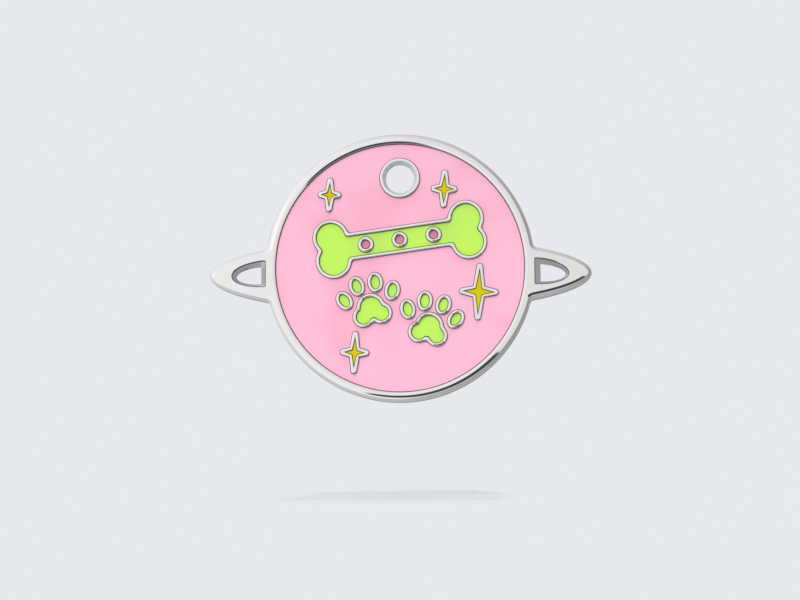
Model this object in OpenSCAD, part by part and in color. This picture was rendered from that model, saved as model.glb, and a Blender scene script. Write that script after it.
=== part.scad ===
// Pet id tag: a cast metal disc with two pointed ring ears, and enamel in its recessed cells.
// The origin is the centre of the hanging hole. +Z is up as the tag hangs, and the front faces -Y.
// Each shape is drawn flat, with x to the right, y up and z out of the front, then stood upright.

/* [Disc] */
// Diameter of the disc
disc_d = 31.5; // [30:0.5:35]
// Thickness of the metal
tag_t = 2; // [1.8:0.1:3]
// Width of the raised rim
rim_w = 1.2; // [1:0.1:1.6]
// Rounding of the rim's outer front edge
front_edge_r = 0.35; // [0.2:0.05:0.4]
// Rounding of the rim's inner edge
inner_edge_r = 0.3; // [0.15:0.05:0.35]
// Rounding of the disc's back edge
back_edge_r = 0.2; // [0.1:0.05:0.3]

/* [Hanging hole] */
// Diameter of the hole
hole_d = 3.3; // [2.8:0.1:4]
// Distance from the disc's top edge down to the hole's centre
hole_inset = 5.25; // [4.75:0.25:6]
// Width of the hole's flared front lip, on each side
lip_w = 0.37; // [0.2:0.01:0.5]
// Depth of the flared front lip
lip_depth = 0.55; // [0.3:0.05:0.8]
// Width and depth of the chamfer at the back of the hole
back_lip = 0.15; // [0.05:0.05:0.3]
// Width of the eyelet's flat front ring
eyelet_land_w = 0.26; // [0.2:0.02:0.5]

/* [Ring ears] */
// How far each ear reaches beyond the edge of the disc
ear_reach = 6.55; // [5.5:0.05:8]
// Height of the ring's full ellipse
ring_h = 8.65; // [8:0.05:10]
// Distance of the ring's long axis below the disc's centre
ring_drop = 0.82; // [0:0.02:1]
// Slant of the ring, with its right end up, in degrees
ring_tilt = 0.3; // [0:0.1:5]
// Width and depth of the chamfer along the ring's front and back edges
ring_chamfer = 0.42; // [0.2:0.02:0.6]
// Fillet radius where the ears meet the disc
root_r = 0.6; // [0.3:0.1:1]

/* [Ear openings] */
// Metal between the pointed end of an opening and the tip of its ear
ear_tip_w = 2.7; // [2.2:0.05:3.2]
// Width of the metal between the pink field and an opening
opening_web = 1.2; // [1:0.1:1.6]
// Length of an opening's full ellipse, which its straight side cuts short
opening_l = 7.8; // [7:0.1:9]
// Height of an opening's full ellipse
opening_h = 2.9; // [2.6:0.05:3.2]
// Distance of the openings above the ring's long axis
opening_rise = 0.2; // [0:0.05:0.4]
// Downward slant of each opening towards the tip of its ear, in degrees
opening_droop = 4.5; // [0:0.5:6]
// How much each opening narrows from front to back along its curved side
opening_back_inset = 0.4; // [0.1:0.05:0.5]
// How much each opening narrows from front to back along its straight side
opening_web_inset = 0.65; // [0.1:0.05:0.8]

/* [Cells] */
// Depth of the cells below the front
cell_depth = 0.7; // [0.5:0.05:1]
// Thickness of the enamel in the cells
enamel_t = 0.45; // [0.3:0.05:0.48]
// Clearance between the enamel and the walls round it
enamel_gap = 0.02; // [0.01:0.01:0.04]
// Width of the raised metal lines as a share of the disc's diameter
line_w_share = 0.0117; // [0.0095:0.0001:0.0143]
// Radius that softens the inner corners of the lines
soften_r = 0.45; // [0.2:0.05:0.6]

/* [Stars] */
// Height of the tallest star over its metal line, as a share of the disc's diameter
star_h_share = 0.2095; // [0.178:0.0005:0.222]
// Width of a star as a share of its height
star_w_share = 0.68; // [0.6:0.01:0.75]
// Reach of a star's inner corners as a share of its height
star_waist_share = 0.052; // [0.045:0.001:0.06]
// Metal between the enamel's upper or lower point and the end of the star
star_tip_land = 0.82; // [0.7:0.02:0.9]
// Clockwise turn of the stars, in degrees
star_turn = 2.5; // [0:0.5:10]

/* [Bone] */
// Length of the bone's enamel as a share of the disc's diameter
bone_l_share = 0.616; // [0.54:0.001:0.635]
// Width across the two knobs at an end as a share of the bone's length
bone_end_w_share = 0.32; // [0.3:0.005:0.33]
// Diameter of one knob as a share of the bone's length
knob_d_share = 0.178; // [0.155:0.001:0.18]
// Width of the shaft as a share of the bone's length
shaft_w_share = 0.129; // [0.124:0.001:0.144]
// Slant of the bone, with its right end up, in degrees
bone_tilt = 8; // [6:0.5:10]
// Diameter of the round cells along the shaft as a share of the bone's length
dot_d_share = 0.057; // [0.047:0.001:0.062]
// Distance from one round cell to the next as a share of the bone's length
dot_pitch_share = 0.206; // [0.155:0.001:0.23]

/* [Paw prints] */
// Width of a pad's enamel as a share of the disc's diameter
pad_w_share = 0.124; // [0.108:0.001:0.127]
// Distance of a pad's centre below the paw print's centre as a share of the pad's width
pad_drop_share = 0.256; // [0.256:0.001:0.308]
// Length of a toe's enamel as a share of the pad's width
toe_l_share = 0.422; // [0.332:0.001:0.436]
// Width of a toe's enamel as a share of the pad's width
toe_w_share = 0.282; // [0.23:0.001:0.294]
// Outward slant of the middle toes, in degrees
middle_toe_tilt = 6; // [0:1:10]
// Outward slant of the side toes, in degrees
side_toe_tilt = 24; // [15:1:30]
// Slant of the two paw prints, in degrees
paw_turn = 12; // [6:1:16]

/* [Hidden] */
star_names = ["star_top_left", "star_top_right", "star_right", "star_bottom"];
dot_names = ["bone_dot_left", "bone_dot_middle", "bone_dot_right"];
pad_names = ["left_paw_pad", "right_paw_pad"];
left_toe_names = ["left_paw_toe_1", "left_paw_toe_2", "left_paw_toe_3", "left_paw_toe_4"];
right_toe_names = ["right_paw_toe_1", "right_paw_toe_2", "right_paw_toe_3", "right_paw_toe_4"];
toe_names = [left_toe_names, right_toe_names];

metal_color = [0.86, 0.87, 0.88];
pink_color = [1, 0.72, 0.82];
deep_pink_color = [0.8, 0.5, 0.58];
lime_color = [0.76, 0.96, 0.36];
yellow_color = [0.85, 0.78, 0.04];

disc_r = disc_d / 2;
field_r = disc_r - rim_w;
hole_r = hole_d / 2;
eyelet_r = hole_r + lip_w + eyelet_land_w;
front_z = tag_t / 2;
back_z = -front_z;
floor_z = front_z - cell_depth;
overrun = tag_t / 4;
ring_l = disc_d + ear_reach * 2;
opening_start_x = field_r + opening_web;
opening_middle_x = ring_l / 2 - ear_tip_w - opening_l / 2;
line_w = disc_d * line_w_share;
star_h = disc_d * star_h_share;
bone_l = disc_d * bone_l_share;
knob_r = bone_l * knob_d_share / 2;
dot_r = bone_l * dot_d_share / 2;
pad_w = disc_d * pad_w_share;

// Centres of the stars from the disc's centre, as shares of the field's radius
star_place_shares = [[-0.565, 0.588], [0.354, 0.636], [0.633, -0.191], [-0.36, -0.68]];
// Heights of the stars as shares of the tallest one's
star_size_shares = [0.6, 0.67, 1, 0.74];
// Centre of the bone, as shares of the field's radius
bone_place_shares = [0, 0.223];
// Centres of the two paw prints, as shares of the field's radius
paw_place_shares = [[-0.24, -0.275], [0.247, -0.426]];
// Centres of a paw print's middle and side toes from its own centre, as shares of the pad's width
middle_toe_place_shares = [0.282, 0.525];
side_toe_place_shares = [0.73, 0.18];
// Circles that make up a pad: centre and radius as shares of its width
pad_circle_shares = [[0, 0.07, 0.33], [-0.27, -0.155, 0.23], [0.27, -0.155, 0.23]];

// Stands what is drawn flat upright, with its front towards -Y
module upright() {
    rotate([90, 0, 0]) children();
}

// Moves what is drawn round the disc's centre to where the disc hangs
module on_disc() {
    translate([0, hole_inset - disc_r]) children();
}

// Extrudes an outline from one height to another
module slab(low_z, high_z) {
    translate([0, 0, low_z]) linear_extrude(high_z - low_z) children();
}

// Fills an outline's sharp inner corners with arcs
module softened() {
    offset(r = -soften_r, $fn = 32) offset(delta = soften_r) children();
}

// Moves what is drawn round the ring's centre to its place round the disc's centre
module on_ring() {
    translate([0, -ring_drop]) rotate(ring_tilt) children();
}

// Outline of the ring: an ellipse, drawn in from its full size by a margin
module ring_outline(margin = 0) {
    on_ring() scale([ring_l / 2 - margin, ring_h / 2 - margin]) circle(r = 1, $fn = 144);
}

// Outline of the right ear's opening: the outer part of an ellipse, narrowed by a margin on each side
module opening_outline(curve_margin = 0, straight_margin = 0) {
    intersection() {
        translate([opening_start_x, 0]) rotate(-opening_droop)
            translate([opening_middle_x - opening_start_x, 0])
                scale([opening_l / 2 - curve_margin, opening_h / 2 - curve_margin]) circle(r = 1, $fn = 72);
        translate([opening_start_x + straight_margin, -opening_h]) square([opening_l, opening_h * 2]);
    }
}

// Outline of the four concave roots between the disc and the ears
module root_outline() {
    reach = root_r * 3;
    intersection() {
        offset(r = -root_r, $fn = 32) offset(delta = root_r) {
            circle(r = disc_r, $fn = 180);
            ring_outline();
        }
        for (side = [-1, 1]) {
            translate([side * disc_r, -ring_drop]) square([reach, ring_h + reach], center = true);
        }
    }
}

// Eight corners of a star: four points and the four inner corners between them
function star_corners(half_h, half_w, waist) = [
    [0, half_h], [waist, waist], [half_w, 0], [waist, -waist],
    [0, -half_h], [-waist, -waist], [-half_w, 0], [-waist, waist]
];

// Puts a star drawn round the origin in its place on the disc
module star_place(index) {
    translate(star_place_shares[index] * field_r) rotate(-star_turn) children();
}

// Enamel outline of a star
module star_cell(index) {
    full_h = star_h * star_size_shares[index];
    half_h = full_h / 2 - star_tip_land;
    half_w = full_h * star_w_share / 2 - star_tip_land * star_w_share;
    star_place(index) polygon(star_corners(half_h, half_w, full_h * star_waist_share));
}

// Outer outline of the metal line round a star, with rounded ends
module star_line(index) {
    full_h = star_h * star_size_shares[index];
    half_h = full_h / 2 - line_w;
    half_w = full_h * star_w_share / 2 - line_w;
    star_place(index) offset(r = line_w, $fn = 32)
        polygon(star_corners(half_h, half_w, full_h * star_waist_share));
}

// Puts what is drawn round the bone's centre in its place on the disc
module bone_place() {
    translate(bone_place_shares * field_r) rotate(bone_tilt) children();
}

// Outline of the bone: four knobs and a shaft, grown all round by a margin
module bone_outline(margin = 0) {
    knob_x = bone_l / 2 - knob_r;
    knob_y = bone_l * bone_end_w_share / 2 - knob_r;
    bone_place() softened() {
        for (side = [-1, 1], up = [-1, 1]) {
            translate([side * knob_x, up * knob_y]) circle(r = knob_r + margin, $fn = 48);
        }
        square([knob_x * 2, bone_l * shaft_w_share + margin * 2], center = true);
    }
}

// Outline of one round cell in the bone, grown all round by a margin
module dot_outline(index, margin = 0) {
    middle = (len(dot_names) - 1) / 2;
    bone_place() translate([(index - middle) * bone_l * dot_pitch_share, 0])
        circle(r = dot_r + margin, $fn = 48);
}

// Puts a paw print in its place: the left one leans left and the right one leans right
module paw_place(paw) {
    turn = paw == 0 ? paw_turn : -paw_turn;
    translate(paw_place_shares[paw] * field_r) rotate(turn) children();
}

// Outline of a paw print's pad, grown all round by a margin
module pad_outline(paw, margin = 0) {
    paw_place(paw) translate([0, -pad_w * pad_drop_share]) softened() {
        for (share = pad_circle_shares) {
            translate([share[0] * pad_w, share[1] * pad_w]) circle(r = share[2] * pad_w + margin, $fn = 40);
        }
    }
}

// Outline of one toe, numbered from the left, grown all round by a margin
module toe_outline(paw, toe, margin = 0) {
    side = toe < 2 ? -1 : 1;
    is_side_toe = toe == 0 || toe == 3;
    place = pad_w * (is_side_toe ? side_toe_place_shares : middle_toe_place_shares);
    tilt = is_side_toe ? side_toe_tilt : middle_toe_tilt;
    half_w = pad_w * toe_w_share / 2 + margin;
    half_l = pad_w * toe_l_share / 2 + margin;
    paw_place(paw) translate([side * place[0], place[1]]) rotate(-side * tilt)
        scale([half_w, half_l]) circle(r = 1, $fn = 48);
}

// Outer outlines of all the metal lines that stand in the pink field
module line_outlines() {
    for (i = [0 : len(star_names) - 1]) star_line(i);
    bone_outline(line_w);
    for (paw = [0 : len(pad_names) - 1]) {
        pad_outline(paw, line_w);
        for (toe = [0 : len(toe_names[paw]) - 1]) toe_outline(paw, toe, line_w);
    }
}

// Outlines of all the cells inside those lines
module cell_outlines() {
    for (i = [0 : len(star_names) - 1]) star_cell(i);
    difference() {
        bone_outline();
        for (i = [0 : len(dot_names) - 1]) dot_outline(i, line_w);
    }
    for (i = [0 : len(dot_names) - 1]) dot_outline(i);
    for (paw = [0 : len(pad_names) - 1]) {
        pad_outline(paw);
        for (toe = [0 : len(toe_names[paw]) - 1]) toe_outline(paw, toe);
    }
}

// Half section of the disc, with rounded front and back edges
module disc_section() {
    square([disc_r - front_edge_r, front_z]);
    translate([0, back_z]) square([disc_r - back_edge_r, front_z]);
    translate([0, back_z + back_edge_r]) square([disc_r, tag_t - front_edge_r - back_edge_r]);
    translate([disc_r - front_edge_r, front_z - front_edge_r]) circle(r = front_edge_r, $fn = 48);
    translate([disc_r - back_edge_r, back_z + back_edge_r]) circle(r = back_edge_r, $fn = 48);
}

// Half section of the field's recess, which opens out over the rim's rounded inner edge
module recess_section() {
    translate([0, floor_z]) square([field_r, cell_depth + overrun]);
    difference() {
        translate([0, front_z - inner_edge_r]) square([field_r + inner_edge_r, inner_edge_r + overrun]);
        translate([field_r + inner_edge_r, front_z - inner_edge_r]) circle(r = inner_edge_r, $fn = 48);
    }
}

// Half section of the hole, with its flared lip in front and its chamfer behind
module hole_section() {
    polygon([
        [0, back_z - overrun], [hole_r + back_lip, back_z - overrun], [hole_r + back_lip, back_z],
        [hole_r, back_z + back_lip], [hole_r, front_z - lip_depth],
        [hole_r + lip_w, front_z], [hole_r + lip_w, front_z + overrun], [0, front_z + overrun]
    ]);
}

// The ring that the ears belong to: one ellipse with chamfered edges
module ring_body() {
    hull() {
        slab(back_z + ring_chamfer, front_z - ring_chamfer) ring_outline();
        slab(back_z, front_z) ring_outline(ring_chamfer);
    }
}

// The two ear openings, narrower at the back
module opening_cuts() {
    on_ring() for (side = [0, 1]) {
        mirror([side, 0, 0]) translate([0, opening_rise]) hull() {
            slab(front_z, front_z + overrun) opening_outline();
            slab(back_z - overrun, back_z) opening_outline(opening_back_inset, opening_web_inset);
        }
    }
}

// Cast metal body with the rim, the eyelet, the ears and the raised lines
module casting() {
    color(metal_color) upright() difference() {
        union() {
            difference() {
                on_disc() {
                    rotate_extrude($fn = 180) disc_section();
                    ring_body();
                    slab(back_z + ring_chamfer, front_z - ring_chamfer) root_outline();
                }
                on_disc() rotate_extrude($fn = 180) recess_section();
                on_disc() opening_cuts();
            }
            on_disc() slab(floor_z - overrun / 2, front_z) difference() {
                line_outlines();
                cell_outlines();
            }
            slab(floor_z - overrun / 2, front_z) circle(r = eyelet_r, $fn = 96);
        }
        rotate_extrude($fn = 96) hole_section();
    }
}

// Fills an outline with enamel, clear of the metal round it
module enamel() {
    upright() slab(floor_z, floor_z + enamel_t) children();
}

// Large pink fill inside the rim
module pink_field() {
    color(pink_color) enamel() difference() {
        on_disc() circle(r = field_r - enamel_gap, $fn = 180);
        circle(r = eyelet_r + enamel_gap, $fn = 96);
        on_disc() offset(delta = enamel_gap) line_outlines();
    }
}

// Lime fill of the bone, round the three dots' lines
module bone() {
    color(lime_color) enamel() on_disc() offset(delta = -enamel_gap) difference() {
        bone_outline();
        for (i = [0 : len(dot_names) - 1]) dot_outline(i, line_w);
    }
}

// Deep pink fill of one round cell in the bone
module bone_dot(index) {
    color(deep_pink_color) enamel() on_disc() dot_outline(index, -enamel_gap);
}

// Lime fill of a paw print's pad
module paw_pad(paw) {
    color(lime_color) enamel() on_disc() offset(delta = -enamel_gap) pad_outline(paw);
}

// Lime fill of one toe
module paw_toe(paw, toe) {
    color(lime_color) enamel() on_disc() toe_outline(paw, toe, -enamel_gap);
}

// Yellow fill of one star
module star(index) {
    color(yellow_color) enamel() on_disc() offset(delta = -enamel_gap) star_cell(index);
}

casting();
pink_field();
bone();
for (i = [0 : len(dot_names) - 1])
    bone_dot(i);
for (paw = [0 : len(pad_names) - 1])
    paw_pad(paw);
for (paw = [0 : len(pad_names) - 1], toe = [0 : len(left_toe_names) - 1])
    paw_toe(paw, toe);
for (i = [0 : len(star_names) - 1])
    star(i);
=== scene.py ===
"""Pet id tag: a polished cast disc with two pointed ring ears and soft enamel in its cells.

Every piece is modelled flat in millimetres, with x to the right, y up, z out of the front and the
middle of the hanging hole at the origin. It is then stood upright and brought to metres, so that its
front faces -Y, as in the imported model.
"""

import logging
import math
from contextlib import contextmanager
from dataclasses import dataclass
from enum import Enum
from typing import Callable, Iterator, Sequence

import bmesh
import bpy
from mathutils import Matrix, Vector


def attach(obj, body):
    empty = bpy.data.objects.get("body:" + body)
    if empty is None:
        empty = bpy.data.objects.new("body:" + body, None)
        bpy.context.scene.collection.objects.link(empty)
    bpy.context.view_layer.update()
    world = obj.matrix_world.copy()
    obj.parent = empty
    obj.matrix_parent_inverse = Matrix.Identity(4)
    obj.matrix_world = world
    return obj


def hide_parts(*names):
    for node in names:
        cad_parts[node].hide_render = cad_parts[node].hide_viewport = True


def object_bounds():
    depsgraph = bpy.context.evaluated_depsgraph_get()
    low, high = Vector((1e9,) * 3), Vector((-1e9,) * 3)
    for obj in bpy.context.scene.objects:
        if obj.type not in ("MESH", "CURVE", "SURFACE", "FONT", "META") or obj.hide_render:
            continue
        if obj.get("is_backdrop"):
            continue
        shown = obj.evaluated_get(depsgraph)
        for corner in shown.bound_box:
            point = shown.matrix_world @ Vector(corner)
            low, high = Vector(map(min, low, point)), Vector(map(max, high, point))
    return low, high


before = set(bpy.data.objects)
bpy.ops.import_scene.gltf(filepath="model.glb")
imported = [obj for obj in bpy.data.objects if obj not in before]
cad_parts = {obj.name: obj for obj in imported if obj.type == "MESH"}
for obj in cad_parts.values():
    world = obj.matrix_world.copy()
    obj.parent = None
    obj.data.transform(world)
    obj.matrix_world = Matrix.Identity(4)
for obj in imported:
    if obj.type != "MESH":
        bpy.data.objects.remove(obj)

logging.basicConfig(level=logging.INFO, format="%(message)s")
LOG = logging.getLogger("pet_id_tag")

MM = 0.001
BODY = "root"
TINY = 0.002
POOLING_SHADE = "pooling_shade"
CORNER_ANGLE = math.radians(50)
SMOOTH_ANGLE = math.radians(38)
DISC_SIDES = 288
HOLE_SIDES = 96
ROD_SIDES = 48
ROUND_STEPS = 3
HALVINGS = 50
SPARE = 1.0

Point = tuple[float, float]
Solid = bpy.types.Object
Socket = bpy.types.NodeSocket
Ramp = tuple[float, float, float, float]


# The bench: picking, tracing and cutting


class Pick(Enum):
    """What edit mode picks."""

    POINTS = "VERT"
    EDGES = "EDGE"
    FACES = "FACE"


class Join(Enum):
    """How one solid is worked with another."""

    ADD = "UNION"
    CUT = "DIFFERENCE"


class Turn(Enum):
    """The way an arc runs, seen from the front."""

    LEFT = 1
    RIGHT = -1


class Slot(Enum):
    """The record's material slots."""

    METAL = "metal"
    PINK = "pink_enamel"
    LIME = "lime_enamel"
    DEEP_PINK = "deep_pink_enamel"
    YELLOW = "yellow_enamel"


def work_on(piece: Solid) -> None:
    """Makes one piece the only selected one, and the active one."""
    bpy.ops.object.select_all(action="DESELECT")
    piece.select_set(True)
    bpy.context.view_layer.objects.active = piece


@contextmanager
def editing(piece: Solid, pick: Pick) -> Iterator[None]:
    """Opens a piece in edit mode with nothing picked.

    Args:
        piece: the piece whose mesh is edited.
        pick: what is picked meanwhile.
    """
    work_on(piece)
    bpy.ops.object.mode_set(mode="EDIT")
    bpy.ops.mesh.select_mode(type=pick.value)
    bpy.ops.mesh.select_all(action="DESELECT")
    yield
    bpy.ops.object.mode_set(mode="OBJECT")


def choose(piece: Solid, pick: Pick, test: Callable) -> int:
    """Picks the points, edges or faces that pass a test, in edit mode.

    Args:
        piece: the piece that is being edited.
        pick: which of them are tested.
        test: says whether one of them is picked.

    Returns:
        How many were picked.
    """
    mesh = bmesh.from_edit_mesh(piece.data)
    parts = {Pick.POINTS: mesh.verts, Pick.EDGES: mesh.edges, Pick.FACES: mesh.faces}[pick]
    mesh.normal_update()
    chosen = [part for part in parts if test(part)]
    for part in chosen:
        part.select_set(True)
    mesh.select_flush_mode()
    bmesh.update_edit_mesh(piece.data)
    return len(chosen)


def at_height(z: float) -> Callable:
    """A test for edges that lie level at one height."""
    return lambda edge: all(abs(point.co.z - z) < TINY for point in edge.verts)


def above(z: float) -> Callable:
    """A test for faces whose middle lies above a height."""
    return lambda face: face.calc_center_median().z > z


def below(z: float) -> Callable:
    """A test for faces whose middle lies below a height."""
    return lambda face: face.calc_center_median().z < z


def is_corner(edge: bmesh.types.BMEdge) -> bool:
    """Whether two faces meet at an edge at a marked angle."""
    return len(edge.link_faces) == 2 and edge.calc_face_angle() > CORNER_ANGLE


def work_with(piece: Solid, tool: Solid, join: Join) -> None:
    """Adds a tool's solid to a piece or cuts it away, and puts the tool away.

    Args:
        piece: the piece that is worked on.
        tool: the solid it is worked with.
        join: whether the tool is added or cut away.
    """
    work_on(piece)
    modifier = piece.modifiers.new(tool.name, "BOOLEAN")
    modifier.operation = join.value
    modifier.solver = "EXACT"
    modifier.object = tool
    bpy.ops.object.modifier_apply(modifier=modifier.name)
    mesh = tool.data
    bpy.data.objects.remove(tool, do_unlink=True)
    bpy.data.meshes.remove(mesh)


def joined(pieces: Sequence[Solid]) -> Solid:
    """Joins separate solids into one object without changing their shapes."""
    work_on(pieces[0])
    for piece in pieces:
        piece.select_set(True)
    bpy.ops.object.join()
    return bpy.context.view_layer.objects.active


def settle(piece: Solid) -> None:
    """Moves a piece's place, turn and scale into its mesh."""
    work_on(piece)
    bpy.ops.object.transform_apply(location=True, rotation=True, scale=True)


def place(piece: Solid, spot: Point, turn: float = 0.0) -> Solid:
    """Turns a piece round the origin and moves it to its spot.

    Args:
        piece: the piece, modelled round the origin.
        spot: where its middle goes.
        turn: its turn to the left, in degrees.

    Returns:
        The piece.
    """
    piece.rotation_euler = (0, 0, math.radians(turn))
    piece.location = (*spot, 0)
    settle(piece)
    return piece


def round_edges(piece: Solid, test: Callable, radius: float, steps: int) -> None:
    """Rounds the edges that pass a test.

    Args:
        piece: the piece that is rounded.
        test: says whether an edge is rounded.
        radius: the radius in millimetres.
        steps: how many faces the rounding has across.
    """
    with editing(piece, Pick.EDGES):
        if choose(piece, Pick.EDGES, test):
            bpy.ops.mesh.bevel(offset=radius, segments=steps, profile=0.5, clamp_overlap=False)


def step_end(piece: Solid, steps: Sequence[Point]) -> None:
    """Insets a piece's level upper end in steps.

    Args:
        piece: the piece.
        steps: width and rise of each step from the wall inwards.
    """
    with editing(piece, Pick.FACES):
        mesh = bmesh.from_edit_mesh(piece.data)
        top = max(point.co.z for point in mesh.verts)
        choose(piece, Pick.FACES, above(top - TINY))
        for width, rise in steps:
            bpy.ops.mesh.inset(thickness=width, depth=rise)


def split_along(piece: Solid, across: Point, through: Point = (0, 0)) -> None:
    """Draws a straight seam over a piece, so that no face has a hole inside it.

    Args:
        piece: the piece that is split.
        across: the direction square to the seam.
        through: a point of the seam.
    """
    with editing(piece, Pick.FACES):
        bpy.ops.mesh.select_all(action="SELECT")
        bpy.ops.mesh.bisect(plane_co=(*through, 0), plane_no=(*across, 0))


def rod(name: str, radius: float, low: float, high: float, sides: int = ROD_SIDES) -> Solid:
    """Adds a round rod that stands on the origin.

    Args:
        name: the rod's name.
        radius: its radius.
        low: the height of its lower end.
        high: the height of its upper end.
        sides: how many faces go round it.

    Returns:
        The rod.
    """
    bpy.ops.mesh.primitive_cylinder_add(
        vertices=sides, radius=radius, depth=high - low, end_fill_type="NGON",
        location=(0, 0, (low + high) / 2), rotation=(0, 0, math.pi / sides),
    )
    piece = bpy.context.object
    piece.name = name
    settle(piece)
    return piece


def turned(name: str, profile: Sequence[Point], sides: int) -> Solid:
    """Turns a solid on the origin's axis, by extruding and resizing a rod's upper end.

    Args:
        name: the solid's name.
        profile: radius and height of each step, from the lowest to the highest.
        sides: how many faces go round it.

    Returns:
        The solid.
    """
    (radius, low), (_, high) = profile[:2]
    piece = rod(name, radius, low, high, sides)
    with editing(piece, Pick.FACES):
        choose(piece, Pick.FACES, above(high - TINY))
        for index in range(1, len(profile)):
            (radius, height), (last_radius, last_height) = profile[index], profile[index - 1]
            if index > 1:
                rise = height - last_height
                bpy.ops.mesh.extrude_region_move(TRANSFORM_OT_translate={"value": (0, 0, rise)})
            share = radius / last_radius
            bpy.ops.transform.resize(value=(share, share, 1), center_override=(0, 0, height))
    return piece


def turn_point(centre: Point, radius: float, towards: Point) -> Point:
    """The point of a circle on the way from its centre to another point."""
    way = Vector(towards) - Vector(centre)
    return tuple(Vector(centre) + way.normalized() * radius)


def fillet_centre(first: Point, reach_1: float, second: Point, reach_2: float) -> Point:
    """Centre of the circle that fills the corner on the right of the way between two circles.

    Args:
        first: centre of the circle where the way starts.
        reach_1: distance of the sought centre from it.
        second: centre of the circle where the way ends.
        reach_2: distance of the sought centre from that one.

    Returns:
        The sought centre.
    """
    way = Vector(second) - Vector(first)
    along = (way.length_squared + reach_1**2 - reach_2**2) / (2 * way.length)
    aside = math.sqrt(reach_1**2 - along**2)
    ahead = way.normalized()
    return tuple(Vector(first) + ahead * along + Vector((ahead.y, -ahead.x)) * aside)


def crossing(start: Point, way: Point, other_start: Point, other_way: Point) -> Point:
    """The point where two straight lines cross.

    Args:
        start: a point of the first line.
        way: its direction.
        other_start: a point of the second line.
        other_way: its direction.

    Returns:
        The crossing.
    """
    between = Vector(other_start) - Vector(start)
    share = between.cross(Vector(other_way)) / Vector(way).cross(Vector(other_way))
    return tuple(Vector(start) + Vector(way) * share)


class Outline:
    """An outline traced by an upright edge, which leaves a wall behind as it is extruded and spun.

    Attributes:
        piece: the object whose mesh is traced.
        at: where the edge stands now.
    """

    ARC_STEP = math.radians(9)
    LONGEST_STEP = 0.36

    def __init__(self, name: str, start: Point, low: float, high: float) -> None:
        """Stands the edge at the start.

        Args:
            name: the object's name.
            start: where the outline starts.
            low: height of the edge's lower end.
            high: height of the edge's upper end.
        """
        height = high - low
        bpy.ops.mesh.primitive_plane_add(
            size=height,
            rotation=(math.radians(90), 0, 0),
            location=(start[0] + height / 2, start[1], (low + high) / 2),
        )
        self.piece = bpy.context.object
        self.piece.name = name
        settle(self.piece)
        self.low, self.high = low, high
        self.at = start
        bpy.ops.object.mode_set(mode="EDIT")
        bpy.ops.mesh.select_mode(type=Pick.POINTS.value)
        bpy.ops.mesh.select_all(action="DESELECT")
        choose(self.piece, Pick.POINTS, lambda point: point.co.x > start[0] + height / 2)
        bpy.ops.mesh.delete(type="VERT")
        bpy.ops.mesh.select_all(action="SELECT")

    def line_to(self, point: Point) -> None:
        """Traces a straight line to a point."""
        step = (point[0] - self.at[0], point[1] - self.at[1], 0)
        bpy.ops.mesh.extrude_region_move(TRANSFORM_OT_translate={"value": step})
        self.at = point

    def arc_to(self, point: Point, centre: Point, turn: Turn) -> None:
        """Traces an arc to a point.

        Args:
            point: where the arc ends.
            centre: the middle of the arc.
            turn: the way that it runs.
        """
        before, after = Vector(self.at) - Vector(centre), Vector(point) - Vector(centre)
        angle = math.atan2(after.y, after.x) - math.atan2(before.y, before.x)
        angle = angle * turn.value % math.tau
        steps = math.ceil(max(angle / self.ARC_STEP, angle * before.length / self.LONGEST_STEP, 2))
        axis = (0, 0, -turn.value)
        bpy.ops.mesh.spin(steps=steps, angle=angle, center=(*centre, 0), axis=axis)
        self.at = point

    def round_to(self, circles: Sequence[tuple[Point, float]], soften: float) -> None:
        """Traces the outer side of circles that meet, with their inner corners filled by arcs.

        Args:
            circles: centre and radius of each circle. The tracing edge stands on the first.
            soften: radius of the arcs between them.
        """
        for (centre, radius), (next_centre, next_radius) in zip(circles, circles[1:]):
            middle = fillet_centre(centre, radius + soften, next_centre, next_radius + soften)
            self.arc_to(turn_point(centre, radius, middle), centre, Turn.LEFT)
            self.arc_to(turn_point(next_centre, next_radius, middle), middle, Turn.RIGHT)

    def close(self) -> Solid:
        """Closes the wall and caps both ends.

        Returns:
            The traced solid.
        """
        bpy.ops.mesh.select_all(action="SELECT")
        bpy.ops.mesh.remove_doubles(threshold=TINY)
        bpy.ops.mesh.select_mode(type=Pick.EDGES.value)
        for height in (self.low, self.high):
            bpy.ops.mesh.select_all(action="DESELECT")
            choose(self.piece, Pick.EDGES, at_height(height))
            bpy.ops.mesh.edge_face_add()
        bpy.ops.mesh.select_all(action="SELECT")
        bpy.ops.mesh.normals_make_consistent(inside=False)
        bpy.ops.object.mode_set(mode="OBJECT")
        return self.piece


# Finishes


def new_group(name: str, sockets: dict[tuple[str, str], Sequence[str]]) -> bpy.types.ShaderNodeTree:
    """Adds a node group with its sockets.

    Args:
        name: the group's name.
        sockets: the names of the sockets of each way (INPUT or OUTPUT) and kind (Float or Color).

    Returns:
        The group.
    """
    tree = bpy.data.node_groups.new(name, "ShaderNodeTree")
    for (way, kind), names in sockets.items():
        for socket in names:
            tree.interface.new_socket(name=socket, in_out=way, socket_type="NodeSocket" + kind)
    return tree


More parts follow.
